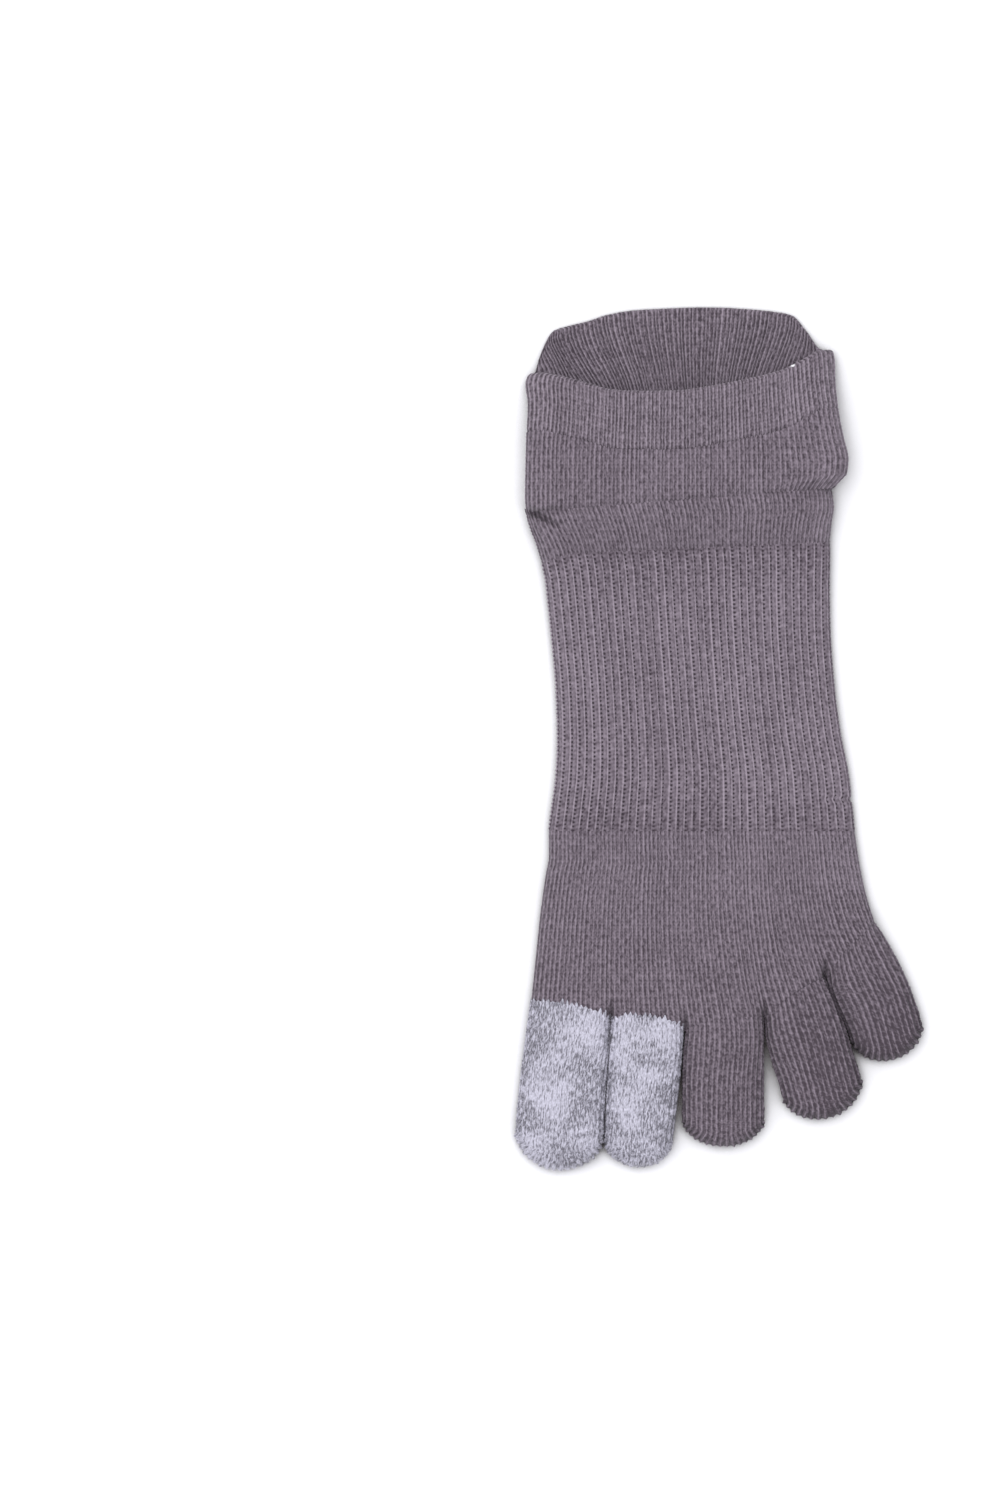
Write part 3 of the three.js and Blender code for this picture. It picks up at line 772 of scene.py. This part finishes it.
# %% The wales of a toe, laid out flat
FLOW = 20  # length over which wales settle into even spacing
FAN = 6.5  # length of the fan of wales at a tip, along the cloth


def flowing(toe, wale, dist):
    """Place of each wale across a toe, from -1 to 1, at a distance from the root."""
    low = toe.first_wale
    even = 2 * (wale - low) / toe.wales - 1
    ends = wale_at_root(toe.roots)
    flat = toe.end_half / toe.rim
    at_root = np.interp(wale, [low, ends[0], ends[1], low + toe.wales], [-1, -flat, flat, 1])
    x = np.interp(wale, ends, toe.roots)
    tau = np.clip(dist / FLOW, 0, 1)
    turn = np.tan(wale_lean(x) - toe.first) * FLOW / toe.root_half * tau * (1 - tau) ** 2
    return mix(at_root, even, tau) + turn * (1 - at_root ** 4)


def laid_flat(toe, s, t, fan_from, size):
    """A straight line for each wale, then a curve that meets the edge squarely."""
    body = 1 - FAN / size
    h = np.clip((t - body) / (1 - body), 0, 1)
    angle = s * QUARTER
    pull = FAN * (1 - 0.25 * np.abs(s))
    h0, h1 = (1 + 2 * h) * (1 - h) ** 2, h * (1 - h) ** 2
    h2, h3 = h * h * (3 - 2 * h), h * h * (h - 1)
    fan_x = h0 * s * toe.rim + (h2 * toe.rim + 1.4 * h3 * pull) * np.sin(angle)
    fan_y = h0 * fan_from + 0.5 * h1 * pull + (h2 * toe.rim + 1.4 * h3 * pull) * np.cos(angle)
    x = np.where(t < body, s * toe.rim, fan_x)
    return x, np.where(t < body, mix(-toe.length, fan_from, t / body), fan_y)


print("the fan of a tip is", FAN, "mm long")

# %% [markdown]
# ### The edge of a toe
# The flat drawing turns under at its edge, where the two layers meet in a seam.
# Each wale stands out a little there, and the corners of the seam a little more.
# A smooth round tip is easier to make, but no knitted toe has one.

# %% The edge of a toe
EAR = 0.45  # a corner of the closing seam stands out this far
SCALLOP = 0.5  # how far each wale stands out of the closing seam
TINY = 1e-6


def turned_under(toe, s, x, y):
    """The flat places with the edge turned under, and two distances from that edge."""
    reach = np.where(y > 0, np.hypot(x, y), np.abs(x))
    away = np.maximum(toe.rim - reach, 0)
    turned = np.clip(away / TOE_FOLD, 0, QUARTER)
    edge = np.where(away < QUARTER * TOE_FOLD, TOE_FOLD * (1 - np.cos(turned)), away - toe.hidden)
    kept = np.where(reach > TINY, (toe.end_half - edge) / np.maximum(reach, TINY), 1)
    ears = toe.share["ear"]
    ear = EAR * bell(np.arctan2(x, np.maximum(y, TINY)) - 1.3 * ears, 0.12) * abs(ears)
    ridge = 0.5 - 0.5 * np.cos(2 * np.pi * (toe.first_wale + toe.wales * (s + 1) / 2))
    stands_out = (ear + SCALLOP * ridge) * step(0, 3, y)
    kept = kept * (1 + stands_out * np.exp(-away / 1.2) / toe.end_half)
    return x * kept, np.where(y > 0, y * kept * toe.share["end"], y), away, edge


print("each wale stands out of the seam by", SCALLOP, "mm, a corner by", EAR, "mm more")

# %% [markdown]
# ### A toe's place on the foot
# The flat toe is bent to its curl and moved to its root, and only then do its
# points get their heights. A finished toe could be bent as well, but that would
# squeeze its stitches on one side. Here they are raised last, at full height.


# %% A toe's place on the foot
def on_the_foot(toe, x, y):
    """Flat places moved to where the toe leans, curls and swells."""
    share = np.clip(x / toe.end_half, -1.1, 1.1)
    back = 1 - np.clip(-y / toe.length, 0, 1.05)
    near = np.clip(1 - back, 0, 1)
    angle_at = toe.lean + toe.curl * (0.5 - np.maximum(back, 0))
    sway = toe.length * toe.curl * back * (1 - back) / 2
    sin, cos = math.sin(toe.lean), math.cos(toe.lean)
    x_mid = (toe.start[0] + toe.stop[0]) / 2 + sin * toe.length * back + cos * sway
    y_mid = (toe.start[1] + toe.stop[1]) / 2 - cos * toe.length * back + sin * sway
    bulge = step(1, 0.7, near) * mix(toe.share["swell_kept"], 1, step(0, 0.5, near))
    swell = np.where(share < 0, toe.share["swell_left"], toe.share["swell_right"]) * bulge
    off = share * (mix(toe.root_half, toe.end_half, back) + swell)
    on = np.maximum(y, 0) + near * toe.slant * share
    bow = near * ROOT_BOW * (1 - share ** 2)
    return (x_mid + np.cos(angle_at) * off + np.sin(angle_at) * on,
            y_mid + np.sin(angle_at) * off - np.cos(angle_at) * on + bow)


def toe_points(toe, wale, s, is_top, past, step_along):
    """past is how far each wale starts before the root. step_along runs from 0 to 1."""
    even = np.where(is_top, 2 * (wale - toe.first_wale) / toe.wales - 1, s)
    fan_from = toe.rim * np.sqrt(1 - 0.96 * even ** 2) - FAN
    size = toe.length + fan_from + FAN
    t = mix(-past / size, 1, step_along)
    s = np.clip(np.where(is_top, flowing(toe, wale, t * size), s), -1, 1)
    x, y, away, edge = turned_under(toe, s, *laid_flat(toe, s, t, fan_from, size))
    x, y = on_the_foot(toe, x, y)
    lift, crown = toe_lift(edge)
    z = TOE_FOLD + np.where(is_top, lift + toe.share["puff"] * TOE_PUFF * crown, -lift)
    return np.stack(np.broadcast_arrays(x, y, z), -1), away, t * size


print("the big toe's tube is", round(Toe(0).length + Toe(0).end_half, 1), "mm long")

# %% [markdown]
# ### Five toes
# Two toes are knitted from the pale yarn and three from the main one. The first
# stitches of the pale yarn reach into the forefoot by different lengths, as
# they do where one yarn takes over from another, so the border isn't a clean cut.

# %% Five toes
TOOTH = 1.1  # how far the pale yarn's first stitches reach into the forefoot
ROWS_PER_MM = 2.5  # rows of mesh points, not of stitches

for number, name in enumerate(TOES["name"]):
    silver = number < 2
    toe = Toe(number)
    s, is_top, count = ring_columns(toe.wales, 8, 4)
    count = count + toe.first_wale
    wale = count[:, :-1]
    tooth = 1 - np.abs(2 * (wale - np.floor(wale)) - 1)
    past = (0.3 + (TOOTH + 0.8 * mood(wale)) * tooth) * np.ones_like(wale) if silver else 0 * wale
    size = toe.length + toe.end_half
    step_along = np.linspace(1, 0, int(size * ROWS_PER_MM))[:, None]
    points, away, dist = toe_points(toe, wale, s, is_top, past, step_along)
    points[..., 2] += np.where(is_top, slow_waves(points[..., 0] * 1.7, points[..., 1] * 1.7), 0)
    row = dist - root_line_at(np.interp(wale, wale_at_root(root_x), root_x))
    in_fan = step(5.5, 2, away)
    height = plain_knit(wale, row, 0.14 if silver else 0.17, 0.03) * (1 + 2.5 * in_fan)
    height = height + (0.15 if silver else 0.0)
    knit_mesh(name, raised(points, height * step(0, 0.5, away)), count, row,
              "silver_jersey" if silver else "charcoal_jersey", 0)

# %% [markdown]
# ## Yarn and colour
# The main yarn is a matte grey with a touch of mauve. Its knit is lit by what gets into the gaps, so
# most of its pattern is painted highlight and painted shade: light along the ridges and dark in the
# gaps. The materials paint that from the same counts of wales and rows as the mesh. What depends on a
# place, such as the end of the arch band, is asked of the finished model, so first it is measured how
# far the drawing moves.

# %% Where the drawing lies on the plain model, in millimetres
drawn_corner = np.array([-ARCH["left"][0] * ARCH_WIDTH, ARCH_END + KNIT_GAP / 2, 0])
shift = drawn_corner - np.array(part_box("arch_band")[0]) * 1000
shift[2] = 0
print("the drawing moves by", np.round(-shift, 2), "mm")

# %% [markdown]
# ### Nodes that calculate
# A material in Blender is a chain of nodes, small boxes that each do one thing.
# They can be placed and joined by hand, but a knit pattern takes about a hundred.
# Written as short calls they read like the formulas that they stand for.


# %% Nodes that calculate
class Formula:
    """The nodes of a material that work out a number."""

    def __init__(self, name):
        self.material = bpy.data.materials.get(name) or bpy.data.materials.new(name)
        self.material.use_nodes = True
        self.nodes = self.material.node_tree.nodes
        self.links = self.material.node_tree.links
        self.shader = self.nodes["Principled BSDF"]

    def feed(self, socket, value):
        if isinstance(value, (int, float)):
            socket.default_value = value
        else:
            self.links.new(value, socket)

    def math(self, operation, a, b=0.0, clamp=False):
        node = self.nodes.new("ShaderNodeMath")
        node.operation = operation
        node.use_clamp = clamp
        self.feed(node.inputs[0], a)
        self.feed(node.inputs[1], b)
        return node.outputs[0]

    def times(self, a, b):
        return self.math("MULTIPLY", a, b)

    def total(self, *values, clamp=False):
        result = values[0]
        for k, value in enumerate(values[1:], 2):
            result = self.math("ADD", result, value, clamp and k == len(values))
        return result

    def wave(self, x):
        """A cosine with one turn for each whole number."""
        return self.math("COSINE", self.times(x, 2 * math.pi))

    def peak(self, x, centre, width):
        """1 at the centre, falling to 0 like a bell."""
        away = self.math("DIVIDE", self.math("SUBTRACT", x, centre), width)
        return self.math("EXPONENT", self.times(self.times(away, away), -1.0))

    def sharpen(self, x, centre, width):
        """0 well below the centre, 1 well above it."""
        return self.math("ADD", self.math("DIVIDE", self.math("SUBTRACT", x, centre), width), 0.5, True)

    def around_zero(self, x, strength):
        """A share from 0 to 1 turned into a change between -strength/2 and strength/2."""
        return self.times(self.math("SUBTRACT", x, 0.5), strength)


print("formulas:", ", ".join(name for name in vars(Formula) if name[0] != "_"))

# %% [markdown]
# ### Nodes for patterns and surfaces
# Noise, random numbers and mixed colours have nodes of their own. The shader at
# the end of the chain takes the finished colour and says how rough the surface
# is and how much it shines. It has many more settings, which cloth doesn't need.


# %% Nodes for patterns and surfaces
def linear(colour):
    """A colour as read on a screen, turned into amounts of light."""
    c = np.array(colour) / 255
    return tuple(float(v) for v in np.where(c <= 0.04045, c / 12.92, ((c + 0.055) / 1.055) ** 2.4))


class Finish(Formula):
    """A whole material: patterns, colours and the shader that they feed."""

    def place(self):
        return self.nodes.new("ShaderNodeTexCoord").outputs["Object"]

    def pair(self, x, y):
        node = self.nodes.new("ShaderNodeCombineXYZ")
        self.feed(node.inputs[0], x)
        self.feed(node.inputs[1], y)
        return node.outputs[0]

    def split(self, vector):
        node = self.nodes.new("ShaderNodeSeparateXYZ")
        self.links.new(vector, node.inputs[0])
        return node.outputs

    def counts(self):
        """How many wales and rows have passed, from the UV coordinates."""
        node = self.nodes.new("ShaderNodeUVMap")
        node.uv_map = "stitches"
        return self.split(node.outputs[0])[:2]

    def noise(self, vector, scale):
        node = self.nodes.new("ShaderNodeTexNoise")
        node.inputs["Scale"].default_value = scale
        node.inputs["Detail"].default_value = 2.0
        self.links.new(vector, node.inputs["Vector"])
        return node.outputs["Fac"]

    def random(self, vector):
        node = self.nodes.new("ShaderNodeTexWhiteNoise")
        node.noise_dimensions = "2D"
        self.links.new(vector, node.inputs["Vector"])
        return node.outputs["Value"]

    def blend(self, share, a, b):
        node = self.nodes.new("ShaderNodeMix")
        node.data_type = "RGBA"
        self.feed(node.inputs["Factor"], share)
        colours = [k for k in node.inputs if k.type == "RGBA"]
        for socket, colour in zip(colours, (a, b)):
            if isinstance(colour, tuple):
                socket.default_value = (*colour, 1)
            else:
                self.links.new(colour, socket)
        return [k for k in node.outputs if k.type == "RGBA"][0]

    def surface(self, colour, roughness, specular, sheen=0.0, sheen_roughness=0.5):
        self.links.new(colour, self.shader.inputs["Base Color"])
        self.shader.inputs["Roughness"].default_value = roughness
        self.shader.inputs["Specular IOR Level"].default_value = specular
        self.shader.inputs["Sheen Weight"].default_value = sheen
        self.shader.inputs["Sheen Roughness"].default_value = sheen_roughness

    def relief(self, height, distance):
        """Gives the shader a fine relief that needs no mesh."""
        node = self.nodes.new("ShaderNodeBump")
        node.inputs["Strength"].default_value = 0.6
        node.inputs["Distance"].default_value = distance
        self.links.new(height, node.inputs["Height"])
        self.links.new(node.outputs[0], self.shader.inputs["Normal"])


print("mid grey on a screen is", round(linear((128, 128, 128))[0], 3), "of the light of white")

# %% [markdown]
# ### Painted shade in nooks
# Light that falls between folds or fibres hardly gets out again. An ambient occlusion node measures how
# closed in each spot of a surface is, and shade is painted into the colour by that. Shade painted by
# hand would miss most folds, and it would stay behind when a fold is moved.

# %% Painted shade in nooks
NOOK_REACH = 0.004  # how far around a spot is looked, in metres


def painted_nook_shade(g, colour, centre=0.42, width=0.7, tint=(0.3, 0.28, 0.3), reach=NOOK_REACH):
    """The colour with painted shade, darker where less than a share of the sky is open."""
    nook = g.nodes.new("ShaderNodeAmbientOcclusion")
    nook.samples = 4
    nook.inputs["Distance"].default_value = reach
    open_sky = g.sharpen(nook.outputs["AO"], centre, width)
    grey = g.blend(open_sky, tint, (1.0, 1.0, 1.0))
    node = g.nodes.new("ShaderNodeVectorMath")
    node.operation = "MULTIPLY"
    g.links.new(colour, node.inputs[0])
    g.links.new(grey, node.inputs[1])
    return node.outputs[0]


print("nooks are looked for within", NOOK_REACH * 1000, "mm")

# %% [markdown]
# ### Painted light and shade on the stitches
# Seen from above, a wale is a light line and the gap beside it a dark one, so a highlight is painted
# along each wale and shade into each gap. In the tuck rib there are dark dots between the lines, painted
# shade in its holes, and they shift by half a row from one wale to the next. Bell curves across a wale
# and waves along it make both, as they do in the mesh, so that colour and relief can't drift apart.

# %% Painted light and shade on the stitches
# the light line is a painted highlight and the dark gap painted shade, set off the middle of a wale as
# light from one side falls
WALE_CREST = 0.45  # share of a wale's width at which its light line runs
GAP_AT = 0.88
DOT_DEPTH = 3.8  # how much darker a hole of the tuck rib is than a plain gap


def stitch_light(g, u, v, stitch):
    """The painted highlight of a wale, the painted shade of its gap and the V shapes, for counts of
    wales and rows.
    """
    f = g.math("FRACT", u)
    side = g.math("ABSOLUTE", g.math("SUBTRACT", g.times(f, 2.0), 1.0))
    vees = g.wave(g.math("ADD", v, g.times(side, 0.5)))
    if stitch == "tuck":
        wale_highlight = g.peak(f, 0.25, 0.085)
        shifted = g.math("ADD", v, g.times(g.math("MODULO", g.math("FLOOR", u), 2.0), 0.5))
        open_row = g.math("ADD", g.times(g.wave(shifted), 0.85), 0.15, True)
        dots = g.times(g.peak(f, 0.47, 0.1), open_row)
        gap_shade = g.total(g.times(dots, DOT_DEPTH), g.times(g.peak(f, 0.02, 0.07), 0.3))
    else:
        wale_highlight = g.peak(f, WALE_CREST, 0.12)
        gap_shade = g.math("ADD", g.peak(f, GAP_AT, 0.12), g.peak(f, GAP_AT - 1, 0.12))
    return wale_highlight, gap_shade, vees


print("a wale is lightest at", WALE_CREST, "and darkest at", GAP_AT, "of its width")

# %% [markdown]
# ### The main yarn
# No two stitches of real yarn look the same. Noise stretched along the wales makes
# light and dark streaks, and a random number for each wale and each stitch lets
# some stand out. One maker serves the plain knit, the tuck rib and the cuff, and
# a few settings tell them apart. The tuck rib is calmer near both its ends, and
# the cuff has a thin dark border. Three separate materials drawn by hand would
# soon differ in the colour of a yarn that is the same everywhere.


# %% The main yarn
def from_band_end(g, x, y):
    """Distance in metres from the nearer of the arch band's upper and lower end."""
    tilt = ARCH_TILT / ARCH_WIDTH
    top = (ARCH_TOP - shift[1] + tilt * shift[0]) / 1000
    below_top = g.math("SUBTRACT", g.math("ADD", g.times(x, tilt), float(top)), y)
    above_end = g.math("SUBTRACT", y, float((ARCH_END - shift[1]) / 1000))
    return g.math("MINIMUM", below_top, above_end)


def knit_material(name, dark, light, stitch, contrast=1.0, level=0.38, wild=1.0):
    """level is the tone half-way up a wale, and wild says how uneven the stitches look."""
    g = Finish(name)
    u, v = g.counts()
    wale_highlight, gap_shade, vees = stitch_light(g, u, v, stitch)
    place = g.place()
    x, y = g.split(place)[:2]
    fibres = g.noise(g.pair(g.times(u, 2.4), g.times(v, 0.7)), 1.0)
    ragged = g.noise(g.pair(g.times(u, 1.3), g.times(v, 0.24)), 1.0)
    one_wale = g.random(g.pair(g.math("FLOOR", u), 3.0))
    one_stitch = g.random(g.pair(g.math("FLOOR", g.times(u, 2.0)), g.math("FLOOR", v)))
    wale_highlight = g.times(wale_highlight, g.total(g.around_zero(ragged, 2.7 * wild), g.around_zero(one_wale, 0.35), 1.0))
    gap_shade = g.times(gap_shade, g.total(g.around_zero(ragged, -0.7 * wild),
                               g.around_zero(one_wale, 1.2 * wild), 1.0))
    extra = 0.0
    if stitch == "tuck":
        from_end = from_band_end(g, x, y)
        inside = g.sharpen(from_end, 0.0016, 0.0032)
        far_inside = g.sharpen(from_end, 0.007, 0.014)
        wale_highlight = g.times(wale_highlight, g.math("ADD", g.times(inside, 0.6), 0.4))
        extra = g.times(g.math("SUBTRACT", far_inside, 1.0), 0.12)
    if name == "rib_cuff":
        # painted shade: the cuff's inner cloth, seen in the mouth, is a little darker
        inner = g.times(g.math("LESS_THAN", v, 0.0), -0.1)
        # a thin dark border where the cuff meets the ankle, with painted shade of the groove there
        border = g.times(g.peak(v, CUFF_HEIGHT - 0.3, 0.5), g.times(ragged, -0.42))
        extra = g.math("ADD", inner, border)
    to_toes = g.sharpen(g.times(y, -1.0), 0.065, 0.05)
    outward = g.math("ADD", g.times(g.math("MAXIMUM", x, 0.0), -5.0), -0.1)
    # the tone holds a painted highlight along the wales and painted shade in their gaps
    tone = g.total(g.times(wale_highlight, 0.42 * contrast), g.times(gap_shade, -0.22 * contrast), g.times(vees, 0.08),
                   g.around_zero(fibres, 0.6 + 0.9 * wild), g.around_zero(one_stitch, 0.22 * wild),
                   extra, g.around_zero(one_wale, 0.1), g.around_zero(g.noise(place, 80.0), 0.25),
                   g.times(to_toes, outward), level, clamp=True)
    # the colour gets painted shade in its nooks
    g.surface(painted_nook_shade(g, g.blend(tone, linear(dark), linear(light))), 0.9, 0.2, 0.1, 0.5)
    g.relief(g.total(g.times(wale_highlight, 0.7), g.times(gap_shade, -0.7), fibres), 0.0002)
    return g.material


finishes = {
    "charcoal_jersey": knit_material("charcoal_jersey", (68, 60, 68), (141, 130, 142), "plain"),
    "arch_rib": knit_material("arch_rib", (67, 58, 67), (152, 141, 153), "tuck", 1.3, 0.42, 0.6),
    "rib_cuff": knit_material("rib_cuff", (68, 60, 68), (148, 137, 149), "plain", 1.2),
}
print("finishes of the main yarn:", list(finishes))

# %% [markdown]
# ### The pale marled yarn
# Two toes are knitted from a pale silvery yarn twisted with a dark one, which comes
# up for about one stitch at a time. Noise stretched along the wales and cut off
# sharply gives such short lengths, and a slower noise says where they are few.
# Dots scattered at random would look like dirt, because they would cross wales.


# %% The pale marled yarn
def marled_material(name, dark, light):
    """Pale yarn in which short dark lengths come and go, fewer where it looks brushed."""
    g = Finish(name)
    u, v = g.counts()
    gap_shade = stitch_light(g, u, v, "plain")[1]
    lengths = g.noise(g.pair(g.times(u, 3.2), g.times(v, 0.55)), 1.0)
    hairs = g.noise(g.pair(g.times(u, 5.5), g.times(v, 1.5)), 1.0)
    brushed = g.sharpen(g.noise(g.place(), 100.0), 0.5, 0.3)
    shown = g.total(lengths, g.around_zero(brushed, 0.14), g.times(gap_shade, -0.05))
    pale = g.sharpen(shown, 0.45, 0.2)
    sparse = g.math("SUBTRACT", 1.75, g.times(brushed, 0.6))
    tone = g.total(g.times(pale, 0.62), g.times(g.around_zero(hairs, 1.0), sparse),
                   g.times(brushed, 0.1), 0.085, clamp=True)
    yarn = g.blend(tone, linear(dark), linear(light))
    # the pale yarn gets painted shade in its nooks, over a shorter reach
    g.surface(painted_nook_shade(g, yarn, 0.32, 0.5, reach=0.0025), 0.55, 0.35, 0.2, 0.4)
    g.relief(g.total(pale, hairs), 0.00025)
    return g.material


finishes["silver_jersey"] = marled_material("silver_jersey", (92, 90, 100), (200, 198, 214))
print("nodes in the pale yarn's material:", len(finishes["silver_jersey"].node_tree.nodes))

# %% [markdown]
# ### A fleck of lint
# One small white fleck sits on the rim of the cuff. It is flat and smaller than a
# stitch, so a mesh of its own would gain nothing. It is a white spot in the
# material, kept to the upper cloth by a height below which nothing is white.

# %% A fleck of lint
LINT = (0.0211, 0.108)  # where it lies, in metres
LINT_ABOVE = 0.006
LINT_SIZE = 0.0009


def add_lint(name):
    g = Finish(name)
    x, y, z = g.split(g.place())
    fleck = g.times(g.peak(x, LINT[0], LINT_SIZE), g.peak(y, LINT[1], LINT_SIZE))
    fleck = g.times(fleck, g.math("GREATER_THAN", z, LINT_ABOVE))
    base = g.shader.inputs["Base Color"]
    cloth = base.links[0].from_socket
    g.links.new(g.blend(g.sharpen(fleck, 0.5, 0.3), cloth, (0.8, 0.8, 0.82)), base)


add_lint("rib_cuff")
print("lint of", LINT_SIZE * 1000, "mm at", LINT)

# %% [markdown]
# ## Putting it on the model
# All pieces were drawn with the ankle crease at Y = 0. The plain model has its
# origin under the middle of its box. Moving the middle of the drawn sock there
# brings both together. Each piece then takes the place of the section it
# stands for, and gets that section's material.

# %% Place, scale and finish the pieces
OFF_FLOOR = 0.00002  # in metres, so that no cloth lies exactly in the paper

for piece, node, slot_name in made:
    co = np.empty(len(piece.data.vertices) * 3)
    piece.data.vertices.foreach_get("co", co)
    placed = (co.reshape(-1, 3) - shift) / 1000
    placed[:, 2] = np.maximum(placed[:, 2], OFF_FLOOR)
    piece.data.vertices.foreach_set("co", placed.ravel())
    piece.data.update()
    piece.data.materials.append(finishes[slot_name])
    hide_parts(node)
    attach(piece, "root")
print("pieces placed:", len(made))

# %% [markdown]
# ## The paper
# The sock lies on white paper. A plane that fills the picture is enough, with a faint grain. Shade is
# painted on the paper close to the sock in the same way as on the cloth in its nooks, because little of
# the soft light reaches it there.

# %% The paper
PAPER_SIZE = 4
bpy.ops.mesh.primitive_plane_add(size=PAPER_SIZE, location=(0, 0, 0))
floor = bpy.context.object
floor.name = "floor"
paper = Finish("paper")
grain = paper.noise(paper.place(), 900.0)
white = paper.blend(grain, (0.86, 0.86, 0.88), (0.88, 0.88, 0.9))
# painted shadow on the paper close to the sock and between the toes
paper.surface(painted_nook_shade(paper, white, 0.39, 0.36, (0.1, 0.08, 0.08), 0.01), 0.95, 0.1)
floor.data.materials.append(paper.material)
print("the paper is", PAPER_SIZE, "m wide")

# %% [markdown]
# ## The light
# The photograph was taken in soft light. A wide lamp above gives most of it, and the bright room fills
# the shadows until only those between the toes stay dark, deepened there by painted shade on the paper.
# A small lamp would draw hard shadows beside the sock, and there are none.


# %% Lights
def soft_light(name, position, size, power):
    """A rectangle of light that is turned towards the sock."""
    data = bpy.data.lights.new(name, "AREA")
    data.shape = "RECTANGLE"
    data.size, data.size_y = size
    data.energy = power
    lamp = bpy.data.objects.new(name, data)
    bpy.context.scene.collection.objects.link(lamp)
    lamp.location = position
    x, y, z = position
    lamp.rotation_euler = (math.atan2(math.hypot(x, y), z), 0, math.atan2(x, -y) if x or y else 0)
    return lamp


overhead = soft_light("overhead", (-0.5, 0.4, 2.2), (2.4, 2.4), 40)
world = bpy.data.worlds.new("studio")
bpy.context.scene.world = world
world.use_nodes = True
world.node_tree.nodes["Background"].inputs["Color"].default_value = (0.98, 0.98, 1.0, 1)
world.node_tree.nodes["Background"].inputs["Strength"].default_value = 0.84
bpy.context.scene.view_settings.view_transform = "Standard"
print("the lamp is tilted by", round(math.degrees(overhead.rotation_euler[0]), 1), "degrees")

# %% [markdown]
# ## The camera
# The camera looks straight down from far away, through a long lens. From close by
# it would see the near cuff larger than the far sole, and the outline would not
# be that of the sock. The lens follows from the height and the frame's size.

# %% Camera
MM_PER_PIXEL = 0.29
PICTURE_HEIGHT = 1500
PICTURE_MIDDLE = (500.5, 750)
CREASE_MIDDLE = (690, 500)  # the pixel where the ankle crease crosses the middle line
SENSOR = 36
CAMERA_HEIGHT = 3.0
data = bpy.data.cameras.new("camera")
data.sensor_fit = "VERTICAL"
data.sensor_height = SENSOR
frame_height = PICTURE_HEIGHT * MM_PER_PIXEL / 1000
data.lens = SENSOR * CAMERA_HEIGHT / frame_height
camera = bpy.data.objects.new("camera", data)
bpy.context.scene.collection.objects.link(camera)
view_x = ((PICTURE_MIDDLE[0] - CREASE_MIDDLE[0]) * MM_PER_PIXEL - shift[0]) / 1000
view_y = ((CREASE_MIDDLE[1] - PICTURE_MIDDLE[1]) * MM_PER_PIXEL - shift[1]) / 1000
camera.location = (view_x, view_y, CAMERA_HEIGHT)
camera.rotation_euler = (0, 0, 0)
bpy.context.scene.camera = camera
print("camera above", round(view_x, 4), round(view_y, 4), "lens", round(data.lens, 1), "mm")

# %% [markdown]
# ## The size of the dressed sock
# The dressed sock should fill the same box as the plain one, but for the height of the stitches.
